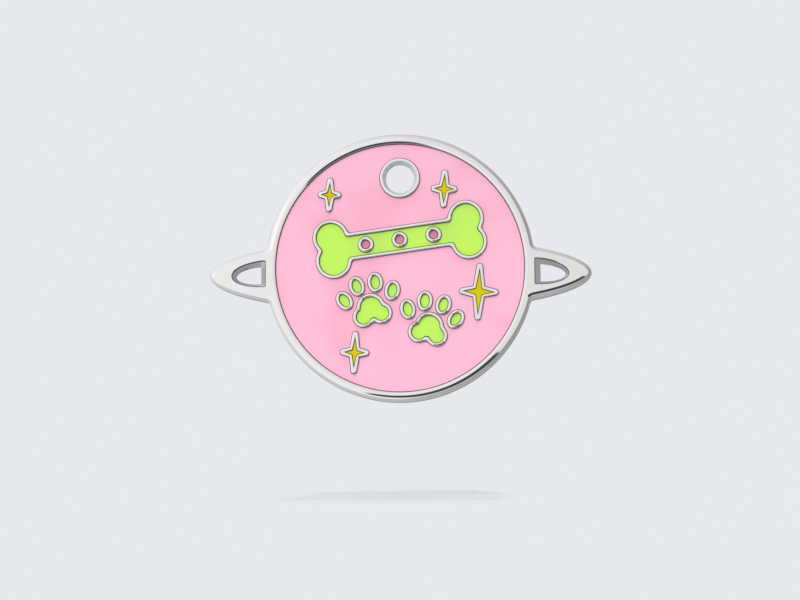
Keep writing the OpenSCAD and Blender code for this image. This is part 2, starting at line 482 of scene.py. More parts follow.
class Nodes:
    """A short hand for placing and wiring the nodes of one tree.

    Attributes:
        tree: the node tree.
    """

    def __init__(self, tree: bpy.types.NodeTree) -> None:
        """Keeps the tree that is wired."""
        self.tree = tree

    def add(self, kind: str, settings: dict | None = None, **inputs: object) -> bpy.types.Node:
        """Adds a node.

        Args:
            kind: the node's type without its leading ShaderNode.
            settings: the node's own settings.
            **inputs: a value or an output socket for each named input, with _ for a blank.

        Returns:
            The node.
        """
        node = self.tree.nodes.new(kind if kind.startswith("Node") else "ShaderNode" + kind)
        for name, value in (settings or {}).items():
            setattr(node, name, value)
        for name, value in inputs.items():
            self.feed(node, name.replace("_", " "), value)
        return node

    def feed(self, node: bpy.types.Node, name: str | int, value: object) -> None:
        """Gives one input of a node a value or another node's output."""
        socket = node.inputs[name]
        if isinstance(value, Socket):
            self.tree.links.new(value, socket)
        else:
            socket.default_value = value

    def feed_all(self, node: bpy.types.Node, values: dict) -> None:
        """Gives several inputs of a node their values or other nodes' outputs."""
        for name, value in values.items():
            self.feed(node, name, value)

    def math(self, operation: str, *values: object) -> Socket:
        """Adds a Math node and gives back its output."""
        node = self.add("Math", {"operation": operation})
        self.feed_all(node, dict(enumerate(values)))
        return node.outputs[0]

    def times(self, first: object, *others: object) -> Socket:
        """Multiplies some numbers, two at a time."""
        for other in others:
            first = self.math("MULTIPLY", first, other)
        return first

    def plus(self, first: object, second: object) -> Socket:
        """Adds two numbers."""
        return self.math("ADD", first, second)

    def minus(self, first: object, second: object) -> Socket:
        """Takes the second number from the first."""
        return self.math("SUBTRACT", first, second)

    def over(self, first: object, second: object) -> Socket:
        """Divides the first number by the second."""
        return self.math("DIVIDE", first, second)

    def most(self, first: object, second: object) -> Socket:
        """The greater of two numbers."""
        return self.math("MAXIMUM", first, second)

    def is_less(self, first: object, second: object) -> Socket:
        """1 where the first number is less than the second, else 0."""
        return self.math("LESS_THAN", first, second)

    def axes(self, vector: object) -> tuple[Socket, Socket, Socket]:
        """The three parts of a vector."""
        return tuple(self.add("SeparateXYZ", Vector=vector).outputs)

    def remap(self, value: object, low: float, high: float, to_low: float = 0, to_high: float = 1) -> Socket:
        """Maps a value smoothly from one range to another and gives back the result."""
        node = self.add("MapRange", {"interpolation_type": "SMOOTHSTEP"}, Value=value)
        for name, number in zip(("From Min", "From Max", "To Min", "To Max"), (low, high, to_low, to_high)):
            node.inputs[name].default_value = number
        return node.outputs["Result"]

    def mix(self, share: object, first: object, second: object) -> Socket:
        """Mixes two colours and gives back the result."""
        node = self.add("Mix", {"data_type": "RGBA"})
        self.feed_all(node, {0: share, 6: first, 7: second})
        return node.outputs[2]

    def blend(self, share: object, first: object, second: object) -> Socket:
        """Mixes two numbers and gives back the result."""
        node = self.add("Mix", {"data_type": "FLOAT"})
        self.feed_all(node, {0: share, 2: first, 3: second})
        return node.outputs[0]

    def length(self, *values: object) -> Socket:
        """Adds up the squares of some numbers and gives back the root."""
        total = 0.0
        for value in values:
            total = self.plus(total, self.times(value, value))
        return self.math("SQRT", total)

    def choice(self, share: object, first: Socket, second: Socket) -> Socket:
        """Mixes two shaders and gives back the result."""
        node = self.add("MixShader")
        self.feed_all(node, {0: share, 1: first, 2: second})
        return node.outputs[0]


POLISH_INPUTS = (
    "Wave Size", "Polished Roughness", "Brushed Roughness", "Satin Roughness", "Satin Reach",
    "Recess Height", "Recess Reach", "Opening Start", "Opening Height", "Opening Length", "Opening Reach",
)
BRUSHING_TURN = math.radians(24)
BRUSHING_STRETCH = (1, 1, 14)
BRUSHING_SIZE = 2600
BRUSHING_SPREAD = (0.3, 0.7, 0.75, 1.25)
WAVE_SPREAD = (0.35, 0.65, 0.8, 1.3)
SCRATCH_SHARE = 0.06
SIDE_FACING = (-0.55, -0.05)
FLARE_FACING = (-0.95, -0.8)
# Depths of the painted shade low down in the recess and of the painted dark line on the openings' front edges.
RECESS_SHADE_DEPTH = (-0.00098, -0.0009)
RECESS_BACK = -0.0002
LINE_START = (-0.00099, -0.00097)
LINE_END = (-0.00087, -0.00082, 1, 0)
RIPPLE_SIZE = 420
RIPPLE_ROUGHNESS = (0.3, 0.7, 0.16, 0.24)
DRIFT_SPREAD = (0.42, 0.68)
POOLING_SHADE_SPREAD = (0.3, 1.0)


def polish_group() -> bpy.types.ShaderNodeTree:
    """Builds the node group for polished and brushed metal.

    It puts out the height of the slow waves and fine scratches that polishing leaves, and the
    roughness of smooth, brushed and satin places. Three masks go with them: one of the sides and the
    back, which are left less bright, one of the painted shade low down in the recess, and one of the
    painted dark line that stands for shade on the openings' front edges. The satin place is the hole's
    flare, within a reach of the hole's axis. The recess lies within a reach of the disc's middle. The
    openings lie beyond a distance on both sides, each within half an oval.

    Returns:
        The group.
    """
    tree = new_group("polish", {
        ("INPUT", "Float"): POLISH_INPUTS,
        ("OUTPUT", "Float"): ("Height", "Roughness", "Brushed", "Recess Shade", "Opening Edge Shade"),
    })
    nodes = Nodes(tree)
    given, result = nodes.add("NodeGroupInput").outputs, nodes.add("NodeGroupOutput")
    where = nodes.add("TexCoord").outputs["Object"]
    x, y, z = nodes.axes(where)
    facing = nodes.axes(nodes.add("NewGeometry").outputs["Normal"])[1]
    waves = nodes.add("TexNoise", Vector=where, Scale=given["Wave Size"], Detail=1.5, Roughness=0.4).outputs["Fac"]
    stretched = nodes.add("Mapping", Vector=where, Scale=BRUSHING_STRETCH, Rotation=(0, BRUSHING_TURN, 0))
    brushing = nodes.add(
        "TexNoise", Vector=stretched.outputs[0], Scale=BRUSHING_SIZE, Detail=4, Roughness=0.6
    ).outputs["Fac"]
    brushed = nodes.remap(facing, *SIDE_FACING)
    rough = nodes.times(given["Brushed Roughness"], nodes.remap(brushing, *BRUSHING_SPREAD))
    smooth = nodes.times(given["Polished Roughness"], nodes.remap(waves, *WAVE_SPREAD))
    near_hole = nodes.is_less(nodes.length(x, z), given["Satin Reach"])
    satin = nodes.times(near_hole, nodes.remap(facing, *FLARE_FACING))
    scratches = nodes.times(brushing, brushed, SCRATCH_SHARE)
    # Painted shade: a mask that darkens the metal low down in the recess, where shade falls.
    in_recess = nodes.is_less(nodes.length(x, nodes.minus(z, given["Recess Height"])), given["Recess Reach"])
    low = nodes.times(nodes.remap(y, *RECESS_SHADE_DEPTH), nodes.is_less(y, RECESS_BACK))
    # Painted shade: a dark line on the openings' front edges, beyond a distance on both sides and within half an oval.
    out = nodes.minus(nodes.math("ABSOLUTE", x), given["Opening Start"])
    up = nodes.minus(z, given["Opening Height"])
    oval = nodes.length(nodes.over(out, given["Opening Length"]), nodes.over(up, given["Opening Reach"]))
    at_opening = nodes.times(nodes.math("GREATER_THAN", out, 0.0), nodes.is_less(oval, 1.0))
    lip = nodes.times(nodes.remap(y, *LINE_START), nodes.remap(y, *LINE_END))
    nodes.feed_all(result, {
        "Height": nodes.plus(waves, scratches),
        "Roughness": nodes.blend(satin, nodes.blend(brushed, smooth, rough), given["Satin Roughness"]),
        "Brushed": nodes.times(brushed, nodes.minus(1.0, satin)),
        "Recess Shade": nodes.times(in_recess, low, nodes.minus(1.0, near_hole)),
        "Opening Edge Shade": nodes.times(at_opening, lip),
    })
    return tree


def pour_group() -> bpy.types.ShaderNodeTree:
    """Builds the node group for poured enamel.

    It puts out the enamel's colour with soft drifts of a deeper colour and a dark edge against the metal,
    which is partly the enamel pooling there and partly painted shade, the height of the slow unevenness of its surface,
    and its roughness.

    Returns:
        The group.
    """
    tree = new_group("pour", {
        ("INPUT", "Color"): ("Colour", "Deep Colour", "Pooled Shade Colour"),
        ("INPUT", "Float"): ("Drift Size", "Drift", "Pooling Shade"),
        ("OUTPUT", "Color"): ("Colour",),
        ("OUTPUT", "Float"): ("Height", "Roughness"),
    })
    nodes = Nodes(tree)
    given, result = nodes.add("NodeGroupInput").outputs, nodes.add("NodeGroupOutput")
    where = nodes.add("TexCoord").outputs["Object"]
    drifts = nodes.add("TexNoise", Vector=where, Scale=given["Drift Size"], Detail=2, Roughness=0.45)
    drift = nodes.times(nodes.remap(drifts.outputs["Fac"], *DRIFT_SPREAD), given["Drift"])
    # The dark edge against the metal: partly the enamel pooling there, partly painted shade.
    edge = nodes.remap(nodes.add("Attribute", {"attribute_name": POOLING_SHADE}).outputs["Fac"], *POOLING_SHADE_SPREAD)
    ripple = nodes.add("TexNoise", Vector=where, Scale=RIPPLE_SIZE, Detail=1, Roughness=0.4).outputs["Fac"]
    colour = nodes.mix(drift, given["Colour"], given["Deep Colour"])
    nodes.feed_all(result, {
        "Colour": nodes.mix(nodes.times(edge, given["Pooling Shade"]), colour, given["Pooled Shade Colour"]),
        "Height": ripple,
        "Roughness": nodes.remap(ripple, *RIPPLE_ROUGHNESS),
    })
    return tree


def cleared(block: bpy.types.ID) -> Nodes:
    """Clears the node tree of a new material or world, and gives it back to be wired."""
    block.use_nodes = True
    block.node_tree.nodes.clear()
    return Nodes(block.node_tree)


def surface(name: str) -> tuple[bpy.types.Material, Nodes, bpy.types.Node]:
    """Makes a material whose Principled shader is wired to its output.

    Args:
        name: the material's name.

    Returns:
        The material, its nodes and the shader.
    """
    material = bpy.data.materials.new(name)
    nodes = cleared(material)
    shader = nodes.add("BsdfPrincipled")
    nodes.add("OutputMaterial", Surface=shader.outputs[0])
    return material, nodes, shader


@dataclass(frozen=True)
class NickelFinish:
    """Polished nickel plating.

    Attributes:
        bright: colour of the polished front.
        dull: colour of the brushed sides and back.
        wave_size: how close the polishing's waves are, per metre.
        wave_depth: how deep they are, in metres.
        polished: roughness of the front.
        brushed: roughness of the sides and the back.
        satin: roughness of the hole's flare.
        satin_reach: radius round the hole's axis that the flare lies in, in metres.
        recess_shade: colour of the painted shade low down in the recess.
        opening_edge_shade: colour of the painted dark line that stands for shade on the openings' front edges.
        recess_height: height of the recess's middle, in metres.
        recess_reach: how far from it the painted shade reaches, in metres.
        opening_start: how far from the middle the openings start, in metres.
        opening_height: their height, in metres.
        opening_length: how far out they reach from there, in metres.
        opening_reach: how far above and below their height they reach, in metres.
    """

    bright: tuple = (0.93, 0.925, 0.92, 1)
    dull: tuple = (0.80, 0.795, 0.80, 1)
    wave_size: float = 260
    wave_depth: float = 0.000004
    polished: float = 0.07
    brushed: float = 0.24
    satin: float = 0.75
    satin_reach: float = 0.00205
    # Painted shade low down in the recess: a dark colour in place of the shade there.
    recess_shade: tuple = (0.32, 0.25, 0.28, 1)
    # Painted shade on the openings' front edges: a near-black line in place of the shade there.
    opening_edge_shade: tuple = (0.045, 0.043, 0.047, 1)
    recess_height: float = -0.0105
    recess_reach: float = 0.01462
    opening_start: float = 0.0154
    opening_height: float = -0.01132
    opening_length: float = 0.00445
    opening_reach: float = 0.0018

    def material(self, group: bpy.types.ShaderNodeTree) -> bpy.types.Material:
        """Makes the material from the polish group."""
        material, nodes, shader = surface("nickel")
        polish = nodes.add("Group", {"node_tree": group})
        nodes.feed_all(polish, dict(zip(POLISH_INPUTS, (
            self.wave_size, self.polished, self.brushed, self.satin, self.satin_reach,
            self.recess_height, self.recess_reach,
            self.opening_start, self.opening_height, self.opening_length, self.opening_reach,
        ))))
        # The painted shade in the recess and the painted dark line on the openings' edges darken the colour and take
        # away the shine.
        recess_shade, line = polish.outputs["Recess Shade"], polish.outputs["Opening Edge Shade"]
        clean = nodes.mix(polish.outputs["Brushed"], self.bright, self.dull)
        nodes.feed_all(shader, {
            "Base Color": nodes.mix(line, nodes.mix(recess_shade, clean, self.recess_shade), self.opening_edge_shade),
            "Roughness": polish.outputs["Roughness"],
            "Normal": nodes.add("Bump", Height=polish.outputs["Height"], Distance=self.wave_depth).outputs[0],
            "Metallic": nodes.minus(1.0, nodes.most(recess_shade, line)),
        })
        return material


@dataclass(frozen=True)
class EnamelFinish:
    """Soft enamel of one colour.

    Attributes:
        slot: the record's slot that it stands for.
        colour: its colour.
        deep: its colour in the darker patches.
        edge: its colour against the metal, partly where it pools and partly painted shade.
        drift: how strongly the deep colour drifts over it.
        drift_size: how close the drifts are, per metre.
        pooling_shade: how strongly it darkens against the metal, partly as it pools and partly as painted shade.
        gleam: how strongly it mirrors the room.
        ripple_depth: how deep the unevenness of its surface is, in metres.
    """

    slot: Slot
    colour: tuple
    deep: tuple
    # The edge colour and the strength below give the dark edge against the metal, partly pooling and partly painted
    # shade.
    edge: tuple
    drift: float = 0.7
    drift_size: float = 150
    pooling_shade: float = 0.8
    gleam: float = 0.5
    ripple_depth: float = 0.000012

    def material(self, group: bpy.types.ShaderNodeTree) -> bpy.types.Material:
        """Makes the material from the pour group."""
        material, nodes, shader = surface(self.slot.value)
        pour = nodes.add("Group", {"node_tree": group})
        nodes.feed_all(pour, {
            "Colour": self.colour, "Deep Colour": self.deep, "Pooled Shade Colour": self.edge,
            "Drift Size": self.drift_size, "Drift": self.drift, "Pooling Shade": self.pooling_shade,
        })
        nodes.feed_all(shader, {
            "Base Color": pour.outputs["Colour"],
            "Roughness": pour.outputs["Roughness"],
            "Specular IOR Level": self.gleam,
            "Normal": nodes.add("Bump", Height=pour.outputs["Height"], Distance=self.ripple_depth).outputs[0],
        })
        return material


@dataclass(frozen=True)
class Palette:
    """All the finishes of the tag."""

    nickel: NickelFinish = NickelFinish()
    # Each enamel's third colour is its dark edge against the metal, partly pooling and partly painted shade.
    enamels: tuple = (
        EnamelFinish(
            Slot.PINK, (0.97, 0.50, 0.655, 1), (0.96, 0.415, 0.575, 1), (0.42, 0.13, 0.19, 1),
            drift=0.85, drift_size=105,
        ),
        EnamelFinish(Slot.LIME, (0.545, 0.90, 0.105, 1), (0.48, 0.78, 0.14, 1), (0.10, 0.17, 0.03, 1)),
        EnamelFinish(Slot.DEEP_PINK, (0.68, 0.245, 0.34, 1), (0.57, 0.18, 0.26, 1), (0.2, 0.06, 0.09, 1)),
        EnamelFinish(
            Slot.YELLOW, (0.71, 0.57, 0.002, 1), (0.62, 0.51, 0.003, 1), (0.22, 0.18, 0.004, 1), gleam=0.15,
        ),
    )

    def materials(self) -> dict[Slot, bpy.types.Material]:
        """Makes a material for each of the record's slots."""
        made = {Slot.METAL: self.nickel.material(polish_group())}
        group = pour_group()
        for enamel in self.enamels:
            made[enamel.slot] = enamel.material(group)
        return made


# The tag


@dataclass(frozen=True)
class Levels:
    """Heights and shared sizes of the tag in millimetres, as in the part's source.

    Attributes:
        disc_d: diameter of the disc.
        tag_t: thickness of the metal.
        rim_w: width of the raised rim.
        hole_d: diameter of the hanging hole.
        hole_inset: distance from the disc's top edge to the hole's middle.
        cell_depth: depth of the cells.
        enamel_t: thickness of the enamel.
        line_w: width of the raised lines.
        line_round: rounding of their upper edges.
        soften_r: radius of the lines' inner corners.
        crevice: width of the dark gap between enamel and metal.
        foot: how far what stands in the cells is sunk into their floor.
    """

    disc_d: float = 31.5
    tag_t: float = 2.0
    rim_w: float = 1.2
    hole_d: float = 3.3
    hole_inset: float = 5.25
    cell_depth: float = 0.7
    enamel_t: float = 0.45
    line_w: float = 0.331
    line_round: float = 0.1
    soften_r: float = 0.45
    crevice: float = 0.065
    foot: float = 0.1

    @property
    def disc_r(self) -> float:
        """Radius of the disc."""
        return self.disc_d / 2

    @property
    def field_r(self) -> float:
        """Radius of the pink field."""
        return self.disc_r - self.rim_w

    @property
    def centre(self) -> Point:
        """Middle of the disc."""
        return (0.0, self.hole_inset - self.disc_r)

    @property
    def front(self) -> float:
        """Height of the front."""
        return self.tag_t / 2

    @property
    def floor(self) -> float:
        """Height of the cells' floor."""
        return self.front - self.cell_depth

    @property
    def enamel_top(self) -> float:
        """Height of the enamel where it meets the metal."""
        return self.floor + self.enamel_t


LEVELS = Levels()


@dataclass(frozen=True)
class Climb:
    """How enamel climbs the metal at its edge.

    Attributes:
        top: height where it meets the metal.
        steps: width and fall of each step from the metal inwards.
        sunk: how far the outer end of a climb that is added lies under the level enamel.
    """

    top: float = LEVELS.enamel_top
    steps: tuple = ((0.05, 0.02), (0.08, 0.012), (0.1, 0.006))
    sunk: float = 0.004

    @property
    def width(self) -> float:
        """Width of the whole climb."""
        return sum(width for width, _ in self.steps)

    @property
    def fall(self) -> float:
        """Height of the whole climb."""
        return sum(fall for _, fall in self.steps)

    def inwards(self) -> list[Point]:
        """Its steps as width and rise, from the metal inwards."""
        return [(width, -fall) for width, fall in self.steps]

    def outwards(self) -> list[Point]:
        """Its steps turned to rise from its sunk end, with the last one led a little into the metal."""
        (first_width, first_fall), *between, (width, fall) = reversed(self.steps)
        return [(first_width, first_fall + self.sunk), *between, (width + LEVELS.crevice / 2, fall)]

    def base(self) -> float:
        """Height of the sunk end."""
        return self.top - self.fall - self.sunk

    def mark(self, piece: Solid) -> None:
        """Marks how near the metal each point of a fill lies, for its darker edge there, which is partly pooling and
        partly painted shade.
        """
        pooling_shade = piece.data.attributes.new(POOLING_SHADE, "FLOAT", "POINT")
        for point, mark in zip(piece.data.vertices, pooling_shade.data):
            sunk = (self.top - point.co.z) / self.fall
            mark.value = max(0.0, 1 - sunk) if sunk < 1 + TINY else 1.0


def dress(piece: Solid, node: str, material: bpy.types.Material) -> None:
    """Stands a finished piece upright in metres, smooths it and lets it stand for its node.

    Args:
        piece: the finished piece, still flat and in millimetres.
        node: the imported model's node that it stands for.
        material: its material.
    """
    piece.name = piece.data.name = node + "_finished"
    piece.rotation_euler = (math.radians(90), 0, 0)
    piece.scale = (MM, MM, MM)
    settle(piece)
    bpy.ops.object.shade_smooth_by_angle(angle=SMOOTH_ANGLE)
    piece.modifiers.new("weighted", "WEIGHTED_NORMAL").keep_sharp = True
    bpy.ops.object.modifier_apply(modifier="weighted")
    piece.data.materials.clear()
    piece.data.materials.append(material)
    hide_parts(node)
    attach(piece, BODY)
    LOG.info("%s: %d faces", piece.name, len(piece.data.polygons))


@dataclass(frozen=True)
class Place:
    """Where one copy of a motif stands.

    Attributes:
        node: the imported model's node for its enamel.
        spot: where its middle stands.
        turn: its turn to the left, in degrees.
    """

    node: str
    spot: Point
    turn: float = 0.0


@dataclass(kw_only=True)
class Motif:
    """A kind of enamel cell with the raised metal line round it, modelled once and copied.

    Attributes:
        places: where its copies stand.
        slot: the slot of its enamel.
        climb: how its enamel climbs the metal.
        inner_round: rounding of the line's upper inner edge.
        seam: the direction square to a seam that meets no corner of the outlines.
    """

    places: Sequence[Place]
    slot: Slot = Slot.LIME
    climb: Climb = Climb()
    inner_round: float = LEVELS.line_round
    seam: Point = (1, 0.37)

    def line_solid(self, low: float, high: float, grow: float = 0.0) -> Solid:
        """Solid on the outer outline of the metal line: the cell's own, grown by the line's width.

        Args:
            low: height of its lower end.
            high: height of its upper end.
            grow: how far the outline is grown.

        Returns:
            The solid, round the origin.
        """
        return self.cell_solid(low, high, LEVELS.line_w + grow)

    def cell_solid(self, low: float, high: float, grow: float = 0.0) -> Solid:
        """Solid on the outline of the enamel cell, with the arguments of line_solid."""
        raise NotImplementedError

    def copies(self, solid: Solid) -> list[Solid]:
        """Copies a solid to all the motif's places, each copy with its own mesh."""
        pieces = [solid]
        for _ in self.places[1:]:
            work_on(solid)
            bpy.ops.object.duplicate(linked=False)
            pieces.append(bpy.context.view_layer.objects.active)
        return [place(piece, where.spot, where.turn) for piece, where in zip(pieces, self.places)]

    def lines(self) -> list[Solid]:
        """Models the raised line with rounded upper edges, and copies it."""
        top, level = LEVELS.front, at_height(LEVELS.front)
        line = self.line_solid(LEVELS.floor - LEVELS.foot, top)
        round_edges(line, level, LEVELS.line_round, ROUND_STEPS)
        split_along(line, self.seam)
        work_with(line, self.cell_solid(LEVELS.floor - 2 * LEVELS.foot, top + SPARE), Join.CUT)
        round_edges(line, lambda edge: level(edge) and is_corner(edge), self.inner_round, ROUND_STEPS)
        return self.copies(line)

    def moulds(self) -> list[Solid]:
        """Models the solid that keeps other enamel clear of the raised line, and copies it."""
        return self.copies(self.line_solid(LEVELS.floor - SPARE, LEVELS.front + SPARE, LEVELS.crevice))

    def skirts(self, climb: Climb) -> list[Solid]:
        """Models the solid up which the enamel outside the raised line climbs, and copies it."""
        low = (LEVELS.floor + LEVELS.enamel_top) / 2
        solid = self.line_solid(low, climb.base(), LEVELS.crevice + climb.width)
        step_end(solid, climb.outwards())
        return self.copies(solid)

    def fill(self) -> Solid:
        """Models the enamel of one cell round the origin."""
        solid = self.cell_solid(LEVELS.floor, self.climb.top, -LEVELS.crevice)
        step_end(solid, self.climb.inwards())
        return solid

    def build(self) -> list[Solid]:
        """Models the enamel once and copies it.

        Returns:
            The enamel of each copy, in the order of the places.
        """
        solid = self.fill()
        self.climb.mark(solid)
        return self.copies(solid)

    def dress(self, fills: Sequence[Solid], materials: dict[Slot, bpy.types.Material]) -> None:
        """Gives the fills their finish and their nodes."""
        for piece, where in zip(fills, self.places):
            dress(piece, where.node, materials[self.slot])


@dataclass(kw_only=True)
class Star(Motif):
    """A four-pointed star with rounded metal tips.

    Attributes:
        height: height over the metal line.
        width_share: width as a share of the height.
        waist_share: reach of the inner corners as a share of the height.
        tip_land: metal between the cell's upper point and the end of the star.
        cell_grow: how far the enamel spreads over that cell.
    """

    slot: Slot = Slot.YELLOW
    climb: Climb = Climb(LEVELS.enamel_top + 0.12, ((0.04, 0.015), (0.04, 0.006)))
    inner_round: float = 0.05
    height: float
    width_share: float = 0.68
    waist_share: float = 0.052
    tip_land: float = 0.82
    cell_grow: float = 0.05

    def sides(self, half_h: float, half_w: float, reach: float) -> tuple[Point, Point, Point]:
        """Moves the two sides of the star's first quarter outwards.

        Args:
            half_h: half the star's height.
            half_w: half its width.
            reach: how far its sides move.

        Returns:
            The upper end, the inner corner and the outer end of the quarter.
        """
        waist = self.height * self.waist_share
        steep = Vector((half_h - waist, waist)).normalized() * reach
        flat = Vector((waist, half_w - waist)).normalized() * reach
        upper, outer = (steep.x, half_h + steep.y), (half_w + flat.x, flat.y)
        return upper, crossing(upper, (waist, waist - half_h), outer, (waist - half_w, waist)), outer

    def line_solid(self, low: float, high: float, grow: float = 0.0) -> Solid:
        """Traces straight sides and an arc round each tip."""
        tall, wide = self.height / 2 - LEVELS.line_w, self.height * self.width_share / 2 - LEVELS.line_w
        upper, inner, outer = self.sides(tall, wide, LEVELS.line_w + grow)
        outline = Outline("star_line", outer, low, high)
        for index, (side, up) in enumerate(((1, 1), (-1, 1), (-1, -1), (1, -1))):
            outline.line_to((side * inner[0], up * inner[1]))
            if index % 2 == 0:
                outline.line_to((side * upper[0], up * upper[1]))
                outline.arc_to((-side * upper[0], up * upper[1]), (0, up * tall), Turn.LEFT)
            else:
                outline.line_to((side * outer[0], up * outer[1]))
                outline.arc_to((side * outer[0], -up * outer[1]), (side * wide, 0), Turn.LEFT)
        return outline.close()

    def cell_solid(self, low: float, high: float, grow: float = 0.0) -> Solid:
        """Traces the eight straight sides of the star's cell."""
        tall = self.height / 2 - self.tip_land
        upper, inner, outer = self.sides(tall, tall * self.width_share, grow + self.cell_grow)
        run = (inner[0] - upper[0], inner[1] - upper[1])
        rest = (inner[0] - outer[0], inner[1] - outer[1])
        tip_y, tip_x = crossing(inner, run, (0, 0), (0, 1))[1], crossing(inner, rest, (0, 0), (1, 0))[0]
        outline = Outline("star_cell", (tip_x, 0), low, high)
        for point in (
            inner, (0, tip_y), (-inner[0], inner[1]), (-tip_x, 0),
            (-inner[0], -inner[1]), (0, -tip_y), (inner[0], -inner[1]), (tip_x, 0),
        ):
            outline.line_to(point)
        return outline.close()


@dataclass(kw_only=True)
class Dot(Motif):
    """A round cell in the bone.

    Attributes:
        radius: radius of the cell.
    """

    slot: Slot = Slot.DEEP_PINK
    radius: float

    def cell_solid(self, low: float, high: float, grow: float = 0.0) -> Solid:
        """Adds a round rod."""
        return rod("dot", self.radius + grow, low, high)


@dataclass(kw_only=True)
class Toe(Motif):
    """An oval toe of a paw print.

    Attributes:
        half_w: half the width of the cell.
        half_l: half the length of the cell.
    """

    half_w: float
    half_l: float

    def cell_solid(self, low: float, high: float, grow: float = 0.0) -> Solid:
        """Adds a rod and draws it out to an oval."""
        piece = rod("toe", 1, low, high)
        with editing(piece, Pick.FACES):
            bpy.ops.mesh.select_all(action="SELECT")
            bpy.ops.transform.resize(value=(self.half_w + grow, self.half_l + grow, 1), center_override=(0, 0, 0))
        return piece


@dataclass(kw_only=True)
class Pad(Motif):
    """The pad of a paw print: three circles that meet, with softened corners between them.

    Attributes:
        width: width of the cell.
        circle_shares: middle and radius of each circle as shares of the width, in the order traced.
    """

    width: float
    circle_shares: tuple = (((0.27, -0.155), 0.23), ((0, 0.07), 0.33), ((-0.27, -0.155), 0.23))

    def cell_solid(self, low: float, high: float, grow: float = 0.0) -> Solid:
        """Traces round the three circles."""
        soften = LEVELS.soften_r
        circles = [((x * self.width, y * self.width), r * self.width + grow) for (x, y), r in self.circle_shares]
        (last, last_radius), (first, first_radius) = circles[-1], circles[0]
        dip = fillet_centre(last, last_radius + soften, first, first_radius + soften)
        outline = Outline("pad", turn_point(first, first_radius, dip), low, high)
        outline.round_to(circles + circles[:1], soften)
        return outline.close()


@dataclass(kw_only=True)
class Bone(Motif):
    """A bone with round cells along its shaft.

    Attributes:
        length: length of the cell.
        end_share: width across the two knobs of an end as a share of the length.
        knob_share: diameter of a knob as a share of the length.
        shaft_share: width of the shaft as a share of the length.
        dot_share: diameter of a round cell as a share of the length.
        pitch_share: distance from one round cell to the next as a share of the length.
    """

    length: float
    end_share: float = 0.32
    knob_share: float = 0.178
    shaft_share: float = 0.129
    dot_share: float = 0.057
    pitch_share: float = 0.206

    def dot(self, placed: bool) -> Dot:
        """The round cells along the shaft.

        Args:
            placed: whether they stand where the bone stands or round the origin, as it is modelled.

        Returns:
            The kind of cell with its three places.
        """
        where = self.places[0] if placed else Place("bone", (0, 0))
        lean = math.radians(where.turn)
        pitch = Vector((math.cos(lean), math.sin(lean))) * self.length * self.pitch_share
        return Dot(
            radius=self.length * self.dot_share / 2,
            places=[
                Place(f"bone_dot_{name}", tuple(Vector(where.spot) + pitch * step))
                for name, step in (("left", -1), ("middle", 0), ("right", 1))
            ],
        )

    def cell_solid(self, low: float, high: float, grow: float = 0.0) -> Solid:
        """Traces round both ends and along the shaft."""
        knob, shaft, soften = self.length * self.knob_share / 2, self.length * self.shaft_share / 2, LEVELS.soften_r
        x, y = self.length / 2 - knob, self.length * self.end_share / 2 - knob
        knob, shaft = knob + grow, shaft + grow
        neck = x - math.sqrt((knob + soften) ** 2 - (shaft + soften - y) ** 2)
        outline = Outline("bone", (neck, -shaft), low, high)
        for side in (1, -1):
            first, second = (side * x, -side * y), (side * x, side * y)
            enter, leave = (side * neck, -side * (shaft + soften)), (side * neck, side * (shaft + soften))
            outline.arc_to(turn_point(first, knob, enter), enter, Turn.RIGHT)
            outline.round_to([(first, knob), (second, knob)], soften)
            outline.arc_to(turn_point(second, knob, leave), second, Turn.LEFT)
            outline.arc_to((side * neck, side * shaft), leave, Turn.RIGHT)
            outline.line_to((-side * neck, side * shaft))
        return outline.close()

    def fill(self) -> Solid:
        """Models the enamel round the round cells' lines."""
        solid, dot = super().fill(), self.dot(placed=False)
        for skirt in dot.skirts(self.climb):
            work_with(solid, skirt, Join.ADD)
        work_with(solid, joined(dot.moulds()), Join.CUT)
        return solid


